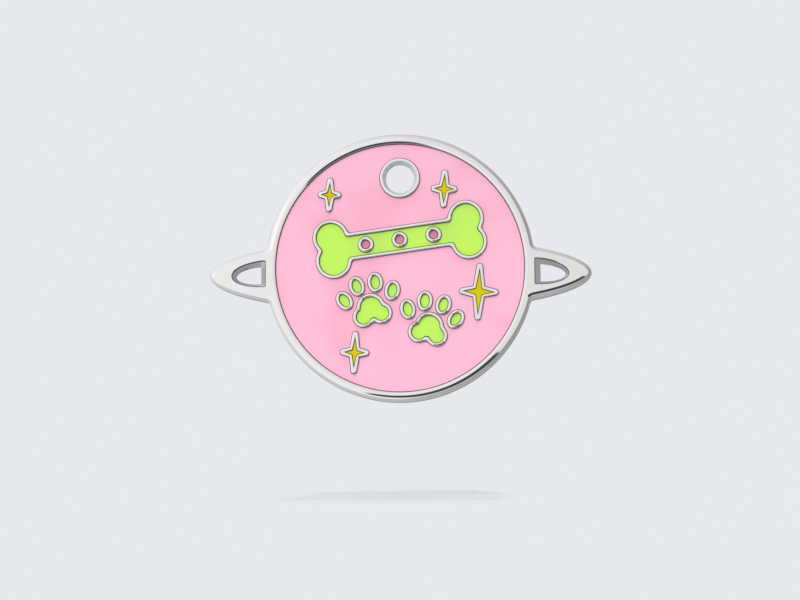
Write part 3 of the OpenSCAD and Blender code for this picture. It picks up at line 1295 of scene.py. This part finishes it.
@dataclass
class Artwork:
    """All the motifs that stand in the pink field, with their places as shares of the field's radius.

    Attributes:
        star_h: height of the tallest star over its line.
        star_turn: turn of the stars to the left, in degrees.
        star_rows: node, place, size share and the enamel's spread of each star.
        bone_l: length of the bone's enamel.
        bone_share: place of the bone.
        bone_turn: the bone's slant in degrees.
        pad_w: width of a pad's enamel.
        pad_drop_share: distance of a pad below its paw print's middle as a share of the pad's width.
        paw_rows: name, place and slant of each paw print.
        toe_rows: number, place as shares of the pad's width, and slant of each toe.
        toe_w_share: width of a toe as a share of the pad's width.
        toe_l_share: length of a toe as a share of the pad's width.
    """

    star_h: float = LEVELS.disc_d * 0.2095
    star_turn: float = -2.5
    star_rows: tuple = (
        ("star_top_left", (-0.565, 0.588), 0.6, 0.07),
        ("star_top_right", (0.358, 0.63), 0.67, 0.08),
        ("star_right", (0.632, -0.2), 1.0, 0.05),
        ("star_bottom", (-0.36, -0.683), 0.74, 0.045),
    )
    bone_l: float = LEVELS.disc_d * 0.616
    bone_share: Point = (0.0, 0.223)
    bone_turn: float = 8.0
    pad_w: float = LEVELS.disc_d * 0.124
    pad_drop_share: float = 0.256
    paw_rows: tuple = (("left_paw", (-0.24, -0.275), 12.0), ("right_paw", (0.247, -0.426), -12.0))
    toe_rows: tuple = (
        (1, (-0.73, 0.18), 24.0),
        (2, (-0.282, 0.525), 6.0),
        (3, (0.282, 0.525), -6.0),
        (4, (0.73, 0.18), -24.0),
    )
    toe_w_share: float = 0.282
    toe_l_share: float = 0.422

    def on_disc(self, share: Point) -> Point:
        """The spot on the tag of a place given as shares of the field's radius."""
        return tuple(Vector(LEVELS.centre) + Vector(share) * LEVELS.field_r)

    def on_paw(self, paw_share: Point, slant: float, share: Point) -> Point:
        """The spot on the tag of a place in a paw print.

        Args:
            paw_share: the paw print's place as shares of the field's radius.
            slant: its slant in degrees.
            share: the place in it as shares of the pad's width.

        Returns:
            The spot.
        """
        lean = math.radians(slant)
        across = Vector((math.cos(lean), math.sin(lean))) * share[0]
        upward = Vector((-math.sin(lean), math.cos(lean))) * share[1]
        return tuple(Vector(self.on_disc(paw_share)) + (across + upward) * self.pad_w)

    def stars(self) -> list[Star]:
        """The four stars, each of its own size."""
        return [
            Star(height=self.star_h * size, cell_grow=spread, places=[Place(node, self.on_disc(share), self.star_turn)])
            for node, share, size, spread in self.star_rows
        ]

    def bone(self) -> Bone:
        """The bone."""
        return Bone(length=self.bone_l, places=[Place("bone", self.on_disc(self.bone_share), self.bone_turn)])

    def pad(self) -> Pad:
        """The pads of both paw prints."""
        drop = (0, -self.pad_drop_share)
        return Pad(
            width=self.pad_w,
            places=[Place(f"{paw}_pad", self.on_paw(share, slant, drop), slant) for paw, share, slant in self.paw_rows],
        )

    def toe(self) -> Toe:
        """The toes of both paw prints."""
        return Toe(
            half_w=self.pad_w * self.toe_w_share / 2,
            half_l=self.pad_w * self.toe_l_share / 2,
            places=[
                Place(f"{paw}_toe_{number}", self.on_paw(share, slant, toe_share), slant + toe_slant)
                for paw, share, slant in self.paw_rows
                for number, toe_share, toe_slant in self.toe_rows
            ],
        )

    def standing(self) -> list[Motif]:
        """The motifs that stand in the pink enamel."""
        return [*self.stars(), self.bone(), self.pad(), self.toe()]

    def motifs(self) -> list[Motif]:
        """All the motifs, the bone's round cells among them."""
        return [*self.standing(), self.bone().dot(placed=True)]


@dataclass
class Casting:
    """The cast metal body: the disc and its ears, their openings, the rim, the raised lines and the eyelet.

    Attributes:
        ear_reach: how far an ear reaches beyond the disc.
        ring_h: height of the ring's full ellipse.
        ring_drop: distance of the ring's long axis below the disc's middle.
        ring_tilt: slant of the ring in degrees.
        root_r: radius of the corners where the ears meet the disc.
        ear_steps: how many straight pieces an ear's edge has.
        root_gap: how near the ring's tips the search for those corners starts, in radians.
        back_round: rounding of the back edge.
        back_steps: how many faces that rounding has across.
        front_round: rounding of the front edge.
        front_turns: where the steps of that rounding end, in degrees from the front's middle.
        rim_slope: width and height over the floor of each step of the rim's inner side.
        opening_web: metal between the pink field and an opening.
        opening_l: length of an opening's full ellipse.
        opening_h: height of an opening's full ellipse.
        opening_rise: distance of the openings above the ring's long axis.
        opening_droop: slant of each opening down towards its tip, in degrees.
        ear_tip_w: metal between an opening's pointed end and the ear's tip.
        opening_steps: how many straight pieces its curved side has.
        opening_round: rounding of the openings' edges.
        opening_turns: where the steps of that rounding end, in degrees from the front's level.
        corner_round: rounding of the two corners at an opening's straight side.
        corner_steps: how many faces that rounding has across.
        back_insets: how much an opening narrows towards the back at its tip, its long sides and its
            straight side.
        lip_w: how much wider than its narrowest ring the hole is at the front.
        lip_depth: depth of that ring behind the front.
        back_lip: how much wider than it the hole is at the back.
        land_w: width of the eyelet's flat ring.
    """

    ear_reach: float = 6.55
    ring_h: float = 8.65
    ring_drop: float = 0.82
    ring_tilt: float = 0.3
    root_r: float = 0.6
    root_gap: float = 0.05
    ear_steps: int = 72
    back_round: float = 0.2
    back_steps: int = 4
    front_round: float = 0.9
    front_turns: tuple = (80, 70, 60, 50, 40, 31, 23, 15.5, 9.5, 5.5)
    rim_slope: tuple = (
        (0, 0.605), (0.07, 0.643), (0.13, 0.664), (0.19, 0.68), (0.25, 0.692), (0.33, 0.704), (0.55, 0.75),
    )
    opening_web: float = 1.2
    opening_l: float = 7.8
    opening_h: float = 2.9
    opening_rise: float = 0.2
    opening_droop: float = 4.5
    ear_tip_w: float = 2.7
    opening_steps: int = 36
    opening_round: float = 0.18
    opening_turns: tuple = (25, 45, 65, 88)
    corner_round: float = 0.06
    corner_steps: int = 5
    back_insets: tuple[float, float, float] = (0.27, 0.45, 0.66)
    lip_w: float = 0.37
    lip_depth: float = 1.1
    back_lip: float = 0.2
    land_w: float = 0.3

    @property
    def ring_l(self) -> float:
        """Length of the ring from tip to tip."""
        return LEVELS.disc_d + 2 * self.ear_reach

    @property
    def ring_centre(self) -> Point:
        """Middle of the ring."""
        return (0.0, LEVELS.centre[1] - self.ring_drop)

    @property
    def eyelet_r(self) -> float:
        """Radius of the boss round the hole."""
        return LEVELS.hole_d / 2 + self.lip_w + self.land_w

    def ring_point(self, turn: float, beyond: float = 0.0) -> Point:
        """A point of the ring's ellipse.

        Args:
            turn: the ellipse's own angle, in radians.
            beyond: how far outside the ellipse the point lies.

        Returns:
            The point.
        """
        long, short = self.ring_l / 2, self.ring_h / 2
        tilt = math.radians(self.ring_tilt)
        square = Vector((short * math.cos(turn), long * math.sin(turn))).normalized() * beyond
        x, y = long * math.cos(turn) + square.x, short * math.sin(turn) + square.y
        return (
            self.ring_centre[0] + x * math.cos(tilt) - y * math.sin(tilt),
            self.ring_centre[1] + x * math.sin(tilt) + y * math.cos(tilt),
        )

    def root(self, near: float, far: float) -> tuple[float, Point]:
        """Finds the corner circle that touches the disc and the ring.

        Args:
            near: an angle of the ellipse near the ear's tip.
            far: an angle of the ellipse inside the disc.

        Returns:
            The ellipse's angle where the circle touches it, and the circle's centre.
        """
        wanted = LEVELS.disc_r + self.root_r
        for _ in range(HALVINGS):
            middle = (near + far) / 2
            centre = self.ring_point(middle, self.root_r)
            if math.dist(centre, LEVELS.centre) > wanted:
                near = middle
            else:
                far = middle
        return near, centre

    def edge_steps(self) -> list[Point]:
        """Width and rise of each step of the front's rounded edge."""
        steps, at, round_r = [], (0.0, 0.0), self.front_round
        top = round_r * (1 - math.cos(math.radians(self.front_turns[-1])))
        for turn in self.front_turns:
            width = round_r * (1 - math.sin(math.radians(turn)))
            rise = (round_r * math.cos(math.radians(turn))) * round_r / (round_r - top)
            steps.append((width - at[0], rise - at[1]))
            at = (width, rise)
        return steps

    def plate(self) -> Solid:
        """Traces the disc with its ears, and shapes its rounded edges."""
        half, gap = math.pi / 2, self.root_gap
        roots = [
            (self.root(-gap, -half), self.root(gap, half)),
            (self.root(math.pi - gap, half), self.root(math.pi + gap, 3 * half)),
        ]
        back, wall = -LEVELS.front, LEVELS.front - self.front_round
        outline = Outline("casting", self.ring_point(roots[0][0][0]), back, wall)
        for index, ((first, _), (last, corner)) in enumerate(roots):
            for step in range(1, self.ear_steps + 1):
                outline.line_to(self.ring_point(first + (last - first) * step / self.ear_steps))
            next_first, next_corner = roots[1 - index][0]
            outline.arc_to(turn_point(LEVELS.centre, LEVELS.disc_r, corner), corner, Turn.RIGHT)
            outline.arc_to(turn_point(LEVELS.centre, LEVELS.disc_r, next_corner), LEVELS.centre, Turn.LEFT)
            outline.arc_to(self.ring_point(next_first), next_corner, Turn.RIGHT)
        piece = outline.close()
        round_edges(piece, at_height(back), self.back_round, self.back_steps)
        step_end(piece, self.edge_steps())
        return piece

    def opening_outline(self, grow: float) -> list[Point]:
        """Points of an opening's outline: the outer part of a drooping ellipse.

        Args:
            grow: how far it is grown all round.

        Returns:
            The points, from the straight side's lower corner to its upper one.
        """
        near, droop = LEVELS.field_r + self.opening_web, math.radians(self.opening_droop)
        long, short = self.opening_l / 2, self.opening_h / 2
        ahead = self.ring_l / 2 - self.ear_tip_w - long - near
        long, short = long + grow, short + grow
        across, up = long * math.cos(droop), short * math.sin(droop)
        reach = math.acos((-grow - ahead * math.cos(droop)) / math.hypot(across, up))
        points = []
        for step in range(self.opening_steps + 1):
            turn = math.atan2(up, across) + reach * (2 * step / self.opening_steps - 1)
            x, y = ahead + long * math.cos(turn), short * math.sin(turn)
            points.append((near + x * math.cos(droop) + y * math.sin(droop), y * math.cos(droop) - x * math.sin(droop)))
        return points

    def opening(self, side: int) -> Solid:
        """Models the tool that cuts one ear's opening, with the rounding of its edges.

        Args:
            side: 1 for the right ear and -1 for the left one.

        Returns:
            The tool, in its place.
        """
        front, spare, round_r = LEVELS.front, 2 * TINY, self.opening_round
        points = self.opening_outline(round_r + spare)
        outline = Outline(f"opening_{side}", points[0], front + spare, front + SPARE)
        for point in (*points[1:], points[0]):
            outline.line_to(point)
        piece = outline.close()

        def at_corner(edge: bmesh.types.BMEdge) -> bool:
            """Whether an edge stands upright at the straight side."""
            upright = abs(edge.verts[0].co.z - edge.verts[1].co.z) > front / 2
            return upright and abs(edge.verts[0].co.x - points[0][0]) < TINY

        round_edges(piece, at_corner, self.corner_round + round_r, self.corner_steps)
        near, tip = LEVELS.field_r + self.opening_web, self.ring_l / 2 - self.ear_tip_w
        tip_in, side_in, web_in = self.back_insets
        narrow, lower = (tip_in + web_in) / (tip - near), side_in * 2 / self.opening_h
        centre = (near + web_in / narrow, -self.opening_l / 4 * math.sin(math.radians(self.opening_droop)))
        with editing(piece, Pick.FACES):
            choose(piece, Pick.FACES, below(front + 2 * spare))
            at = (-spare, -spare)
            for turn in self.opening_turns:
                across, down = (round_r * trig(math.radians(turn)) for trig in (math.sin, lambda a: 1 - math.cos(a)))
                bpy.ops.mesh.inset(thickness=across - at[0], depth=down - at[1])
                at = (across, down)
            for depth, wide, high in (
                (2 * front - at[1] - round_r, 1 - narrow, 1 - lower),
                (round_r, 1 + narrow / 8, 1 + lower / 3),
                (SPARE, 1, 1),
            ):
                bpy.ops.mesh.extrude_region_move(TRANSFORM_OT_translate={"value": (0, 0, -depth)})
                bpy.ops.transform.resize(value=(wide, high, 1), center_override=(*centre, 0))
        if side < 0:
            work_on(piece)
            bpy.ops.transform.mirror(constraint_axis=(True, False, False), center_override=(0, 0, 0))
            settle(piece)
            with editing(piece, Pick.FACES):
                bpy.ops.mesh.select_all(action="SELECT")
                bpy.ops.mesh.normals_make_consistent(inside=False)
        place(piece, (0, self.opening_rise))
        return place(piece, self.ring_centre, self.ring_tilt)

    def recess(self) -> Solid:
        """Models the tool that cuts the pink field's recess, and the rim's inner slope with it."""
        floor, radius = LEVELS.floor, LEVELS.field_r
        slope = [(radius + width, floor + height) for width, height in self.rim_slope]
        return place(turned("recess", [(radius, floor), *slope], DISC_SIDES), LEVELS.centre)

    def eyelet(self) -> Solid:
        """Models the raised boss round the hole."""
        boss = rod("eyelet", self.eyelet_r, LEVELS.floor - LEVELS.foot, LEVELS.front, HOLE_SIDES)
        round_edges(boss, at_height(LEVELS.front), LEVELS.line_round, ROUND_STEPS)
        return boss

    def hole(self) -> Solid:
        """Models the tool that cuts the hole, which flares towards the front and a little towards the back."""
        radius, front = LEVELS.hole_d / 2, LEVELS.front
        profile = (
            (radius + self.back_lip, -front - SPARE),
            (radius + self.back_lip, -front),
            (radius, front - self.lip_depth),
            (radius + self.lip_w, front),
            (radius + self.lip_w, front + SPARE),
        )
        return turned("hole", profile, HOLE_SIDES)

    def build(self, motifs: Sequence[Motif]) -> Solid:
        """Models the whole casting.

        Args:
            motifs: the motifs whose raised lines stand in the recess.

        Returns:
            The casting as one closed solid.
        """
        piece = self.plate()
        split_along(piece, (1, 0))
        split_along(piece, (0, 1), (0, self.ring_centre[1] + self.opening_rise))
        for tool in (self.recess(), self.opening(1), self.opening(-1)):
            work_with(piece, tool, Join.CUT)
        raised = [line for motif in motifs for line in motif.lines()]
        work_with(piece, joined([*raised, self.eyelet()]), Join.ADD)
        work_with(piece, self.hole(), Join.CUT)
        with editing(piece, Pick.POINTS):
            bpy.ops.mesh.select_all(action="SELECT")
            bpy.ops.mesh.remove_doubles(threshold=TINY / 4)
            bpy.ops.mesh.normals_make_consistent(inside=False)
        return piece

    def dress(self, piece: Solid, materials: dict[Slot, bpy.types.Material]) -> None:
        """Gives the casting its finish and its node."""
        dress(piece, "casting", materials[Slot.METAL])


@dataclass
class PinkField:
    """The pink enamel round the raised lines and the eyelet.

    Attributes:
        climb: how it climbs the metal.
    """

    climb: Climb = Climb()

    def build(self, motifs: Sequence[Motif], eyelet_r: float) -> Solid:
        """Models the enamel.

        Args:
            motifs: the motifs that stand in it.
            eyelet_r: radius of the eyelet.

        Returns:
            The enamel as one closed solid.
        """
        gap, climb = LEVELS.crevice, self.climb
        piece = rod("field", LEVELS.field_r - gap, LEVELS.floor, climb.top, DISC_SIDES)
        step_end(piece, climb.inwards())
        place(piece, LEVELS.centre)
        low = (LEVELS.floor + LEVELS.enamel_top) / 2
        around = rod("eyelet_skirt", eyelet_r + gap + climb.width, low, climb.base(), HOLE_SIDES)
        step_end(around, climb.outwards())
        for skirt in (around, *(skirt for motif in motifs for skirt in motif.skirts(climb))):
            work_with(piece, skirt, Join.ADD)
        moulds = [mould for motif in motifs for mould in motif.moulds()]
        moulds.append(rod("eyelet_mould", eyelet_r + gap, LEVELS.floor - SPARE, LEVELS.front + SPARE, HOLE_SIDES))
        work_with(piece, joined(moulds), Join.CUT)
        climb.mark(piece)
        return piece

    def dress(self, piece: Solid, materials: dict[Slot, bpy.types.Material]) -> None:
        """Gives the enamel its finish and its node."""
        dress(piece, "pink_field", materials[Slot.PINK])


# The studio


@dataclass
class MirroredRoom:
    """The pale room that the metal mirrors, with a dark spot low on the right in front.

    A ramp is the range that a number rises through and the levels at both of its ends.

    Attributes:
        nodes: the nodes of the world.
        side: level of the walls, and its change to the right, upwards and towards the upper right.
        front: level of what lies in front, from left to right.
        front_from: where the front takes over from the walls.
        early: how much sooner it does so low down, and where that begins on the right.
        glow: strength of the glow on the left, by how far ahead it lies.
        glow_narrow: how much sooner the glow ends higher up.
        glow_end: where the glow ends ahead, towards the right and upwards.
        spot_level: share of the level that is left in the dark spot.
        spot_slope: how much the spot's left edge leans with the height.
        spot_fall: how much its upper edge falls to the right.
        spot_edges: where the spot starts on the left, ends at the top and starts at the bottom.
        band_ahead: how far ahead the darker band on the right lies.
        band_edges: where the band starts on the right, and the share left of it beside its middle.
        wall: level of the wall behind, and the ramp of its middle, from left to right.
        wall_middle: where that middle is, by how far behind it lies.
        lit: level of the wall behind at the upper left.
        lit_way: how much a direction's height and its lean to the left count for that place.
        lit_from: where that place starts.
        behind_from: where the room behind takes over.
        least: the least reach aside and the least reach ahead that are divided by.
        front_colour: colour of the room in front.
        back_colour: colour of the room behind.
    """

    nodes: Nodes
    side: tuple = (0.60, -0.27, 0.115, -0.12)
    front: Ramp = (-0.18, 0.08, 0.89, 0.79)
    front_from: Point = (0.2, 0.5)
    early: tuple[Ramp, Point] = ((-0.6, -0.1, 0.25, 0), (-0.1, 0.2))
    glow: Ramp = (0.2, 0.35, 0, 0.16)
    glow_narrow: Ramp = (-0.2, 0.3, 0, 0.3)
    glow_end: tuple[Ramp, Ramp, Ramp] = ((0.42, 0.56, 1, 0), (-0.8, -0.4, 1, 0), (0.5, 0.68, 1, 0))
    spot_level: float = 0.07
    spot_slope: float = 0.38
    spot_fall: float = 0.8
    spot_edges: tuple[Point, Ramp, Point] = ((-0.035, 0.005), (0.022, 0.048, 1, 0), (-1.3, -0.75))
    band_ahead: float = 0.17
    band_edges: tuple[Point, Ramp] = ((0.2, 0.6), (0.04, 0.12, 0.7, 1))
    wall: tuple[float, Ramp] = (0.36, (-0.12, 0.06, 0.5, 0.36))
    wall_middle: Ramp = (-0.98, -0.95, 1, 0)
    lit: float = 0.6
    lit_way: Point = (0.75, 0.66)
    lit_from: Point = (0.85, 0.99)
    behind_from: Ramp = (-0.85, -0.65, 1, 0)
    least: Point = (0.01, 0.05)
    front_colour: tuple = (1.0, 0.995, 0.99, 1)
    back_colour: tuple = (0.96, 0.96, 1.06, 1)

    def walls(self, x: Socket, z: Socket) -> Socket:
        """Level of the walls by the direction round the line ahead."""
        level, rightwards, upwards, both = self.side
        nodes = self.nodes
        level = nodes.plus(nodes.plus(level, nodes.times(x, rightwards)), nodes.times(z, upwards))
        return nodes.plus(level, nodes.times(nodes.times(x, z), both))

    def in_front(self, x: Socket, z: Socket, ahead: Socket, u: Socket) -> Socket:
        """Level of the walls and the front together, with the glow on the left.

        Args:
            x: how far right the direction leans round the line ahead, from -1 to 1.
            z: how far up it leans.
            ahead: how much of it goes ahead.
            u: its place from left to right on a board in front.

        Returns:
            The level.
        """
        nodes, (low_down, on_right), (ahead_end, right_end, top_end) = self.nodes, self.early, self.glow_end
        early = nodes.times(nodes.remap(z, *low_down), nodes.remap(x, *on_right))
        share = nodes.remap(nodes.minus(ahead, early), *self.front_from)
        level = nodes.blend(share, self.walls(x, z), nodes.remap(u, *self.front))
        wide = nodes.minus(ahead, nodes.remap(z, *self.glow_narrow))
        glow = nodes.times(nodes.remap(ahead, *self.glow), nodes.remap(wide, *ahead_end))
        on_left = nodes.times(nodes.remap(x, *right_end), nodes.remap(z, *top_end))
        return nodes.plus(level, nodes.times(glow, on_left))

    def dark_spot(self, u: Socket, v: Socket) -> Socket:
        """Mask of the dark spot on a board in front, from its places from left to right and upwards."""
        nodes, (left, top, bottom) = self.nodes, self.spot_edges
        past_left = nodes.remap(nodes.minus(u, nodes.times(v, self.spot_slope)), *left)
        under = nodes.remap(nodes.plus(v, nodes.times(u, self.spot_fall)), *top)
        return nodes.times(past_left, under, nodes.remap(v, *bottom))

    def band(self, x: Socket, ahead: Socket) -> Socket:
        """Share of the level that is left in the darker band on the right."""
        nodes, (on_right, beside) = self.nodes, self.band_edges
        off = nodes.math("ABSOLUTE", nodes.minus(ahead, self.band_ahead))
        return nodes.blend(nodes.remap(x, *on_right), 1.0, nodes.remap(off, *beside))

    def behind(self, right: Socket, x: Socket, z: Socket, ahead: Socket) -> Socket:
        """Level of the wall behind, with its middle and its lit place at the upper left."""
        nodes, (level, middle), (upwards, leftwards) = self.nodes, self.wall, self.lit_way
        slant = nodes.minus(nodes.times(z, upwards), nodes.times(x, leftwards))
        wall = nodes.blend(nodes.remap(ahead, *self.wall_middle), level, nodes.remap(right, *middle))
        return nodes.blend(nodes.remap(slant, *self.lit_from), wall, self.lit)

    def wire(self) -> tuple[Socket, Socket]:
        """Wires the whole room.

        Returns:
            The room's strength and its colour.
        """
        nodes = self.nodes
        right, depth, up = nodes.axes(nodes.add("TexCoord").outputs["Generated"])
        ahead = nodes.times(depth, -1)
        aside = nodes.most(nodes.length(right, up), self.least[0])
        x, z = nodes.over(right, aside), nodes.over(up, aside)
        board = nodes.most(ahead, self.least[1])
        u, v = nodes.over(right, board), nodes.over(up, board)
        left = nodes.blend(self.dark_spot(u, v), 1.0, self.spot_level)
        level = nodes.times(self.in_front(x, z, ahead, u), left, self.band(x, ahead))
        share = nodes.remap(ahead, *self.behind_from)
        colour = nodes.mix(share, self.front_colour, self.back_colour)
        return nodes.blend(share, level, self.behind(right, x, z, ahead)), colour


@dataclass(frozen=True)
class Studio:
    """The camera, the floor, the lamps and the room round the tag.

    Attributes:
        aim: the point that the camera looks at, in metres.
        distance: the camera's distance from it.
        azimuth: how far the camera stands to the right of the front, in degrees.
        elevation: how far it stands above the aim, in degrees.
        lens: focal length in millimetres for the camera's 36 mm sensor.
        clip_start: how near the camera starts to see.
        floor_z: height of the floor.
        floor_size: length of its sides.
        backdrop: colour of the background.
        floor_colour: colour of the floor.
        floor_fade: how far from its middle the floor starts and ends to fade.
        shadow_patch: half the width and half the depth of the oval patch of floor that the camera sees.
        patch_fade: where the patch starts and ends to fade, as shares of its size.
        shadow_clear: how clear the floor is inside the patch.
        room_light: strength of the light from all round.
        key: strength, size in degrees and direction of the soft front lamp.
        strip_power: power of the long lamp overhead.
        strip_size: its width and its length from front to back.
        strip_z: its height.
    """

    aim: tuple = (0.0, 0.0, -0.01427)
    distance: float = 0.2
    azimuth: float = 3.0
    elevation: float = -5.3
    lens: float = 77.1
    clip_start: float = 0.005
    floor_z: float = -0.037
    floor_size: float = 40.0
    backdrop: tuple = (0.799, 0.815, 0.847, 1)
    floor_colour: tuple = (0.683, 0.697, 0.724, 1)
    floor_fade: Point = (0.05, 0.15)
    shadow_patch: Point = (0.0126, 0.055)
    patch_fade: Point = (0.85, 1.1)
    shadow_clear: float = 0.25
    room_light: float = 0.336
    key: tuple = (1.64, 40, (-0.5, -1.0, 0.5))
    strip_power: float = 3.3
    strip_size: Point = (0.2, 1.08)
    strip_z: float = 0.56

    def camera(self) -> None:
        """Sets the camera at the photograph's angle."""
        azimuth, elevation = math.radians(self.azimuth), math.radians(self.elevation)
        back = Vector((
            math.sin(azimuth) * math.cos(elevation), -math.cos(azimuth) * math.cos(elevation), math.sin(elevation)
        ))
        camera = bpy.data.objects.new("camera", bpy.data.cameras.new("camera"))
        bpy.context.scene.collection.objects.link(camera)
        camera.location = Vector(self.aim) + back * self.distance
        camera.rotation_euler = (-back).to_track_quat("-Z", "Y").to_euler()
        camera.data.lens = self.lens
        camera.data.clip_start = self.clip_start
        bpy.context.scene.camera = camera

    def floor(self) -> None:
        """Lays a pale floor. It is clear from below, and the metal doesn't mirror it.

        It lights the tag from below and fades out beside it. The camera sees only an oval patch of it
        under the tag, which holds the shadow.
        """
        bpy.ops.mesh.primitive_plane_add(size=self.floor_size, location=(0, 0, self.floor_z))
        floor = bpy.context.object
        floor.name = "floor"
        material = bpy.data.materials.new("floor")
        nodes = cleared(material)
        matt = nodes.add("BsdfDiffuse", Color=self.floor_colour).outputs[0]
        clear = nodes.add("BsdfTransparent").outputs[0]
        under = nodes.add("NewGeometry").outputs["Backfacing"]
        path = nodes.add("LightPath").outputs
        x, y, _ = nodes.axes(nodes.add("TexCoord").outputs["Object"])
        far = nodes.remap(nodes.length(x, y), *self.floor_fade)
        half_x, half_y = self.shadow_patch
        from_middle = nodes.length(nodes.over(x, half_x), nodes.over(y, half_y))
        beside = nodes.remap(from_middle, *self.patch_fade, self.shadow_clear, 1)
        faded = nodes.blend(path["Is Camera Ray"], far, beside)
        hidden = nodes.most(nodes.most(under, path["Is Glossy Ray"]), faded)
        nodes.add("OutputMaterial", Surface=nodes.choice(hidden, matt, clear))
        floor.data.materials.append(material)
        floor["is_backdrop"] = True

    def lamps(self) -> None:
        """Hangs a soft far lamp in front and a long one overhead. The metal mirrors neither."""
        strength, size, direction = self.key
        key = bpy.data.objects.new("key", bpy.data.lights.new("key", "SUN"))
        key.data.energy = strength
        key.data.angle = math.radians(size)
        key.rotation_euler = Vector(direction).to_track_quat("Z", "Y").to_euler()
        strip = bpy.data.objects.new("strip", bpy.data.lights.new("strip", "AREA"))
        strip.data.energy = self.strip_power
        strip.data.shape = "RECTANGLE"
        strip.data.size, strip.data.size_y = self.strip_size
        strip.location = (0, 0, self.strip_z)
        for lamp in (key, strip):
            lamp.visible_glossy = False
            bpy.context.scene.collection.objects.link(lamp)

    def room(self) -> None:
        """Makes the room: what lights the tag, what the metal mirrors and what the camera sees."""
        world = bpy.data.worlds.new("room")
        bpy.context.scene.world = world
        nodes = cleared(world)
        strength, colour = MirroredRoom(nodes).wire()
        mirrored = nodes.add("Background", Strength=strength, Color=colour).outputs[0]
        light = nodes.add("Background", Strength=self.room_light, Color=(1, 1, 1, 1)).outputs[0]
        seen = nodes.add("Background", Strength=1.0, Color=self.backdrop).outputs[0]
        path = nodes.add("LightPath").outputs
        unseen = nodes.choice(path["Is Glossy Ray"], light, mirrored)
        nodes.add("OutputWorld", Surface=nodes.choice(path["Is Camera Ray"], unseen, seen))

    def build(self) -> None:
        """Sets up the whole studio."""
        bpy.context.scene.view_settings.view_transform = "Standard"
        self.camera()
        self.floor()
        self.lamps()
        self.room()


def box_lists() -> list[list[float]]:
    """The shown object's lowest and highest corners as plain lists."""
    return [[float(number) for number in corner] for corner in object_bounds()]


def main() -> None:
    """Builds every piece in order and logs the shown object's size at the end."""
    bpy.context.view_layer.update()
    materials = Palette().materials()
    artwork, casting, pink_field = Artwork(), Casting(), PinkField()
    casting.dress(casting.build(artwork.motifs()), materials)
    pink_field.dress(pink_field.build(artwork.standing(), casting.eyelet_r), materials)
    for motif in artwork.motifs():
        motif.dress(motif.build(), materials)
    Studio().build()
    LOG.info("dressed box: %s", box_lists())


if __name__ == "__main__":
    main()
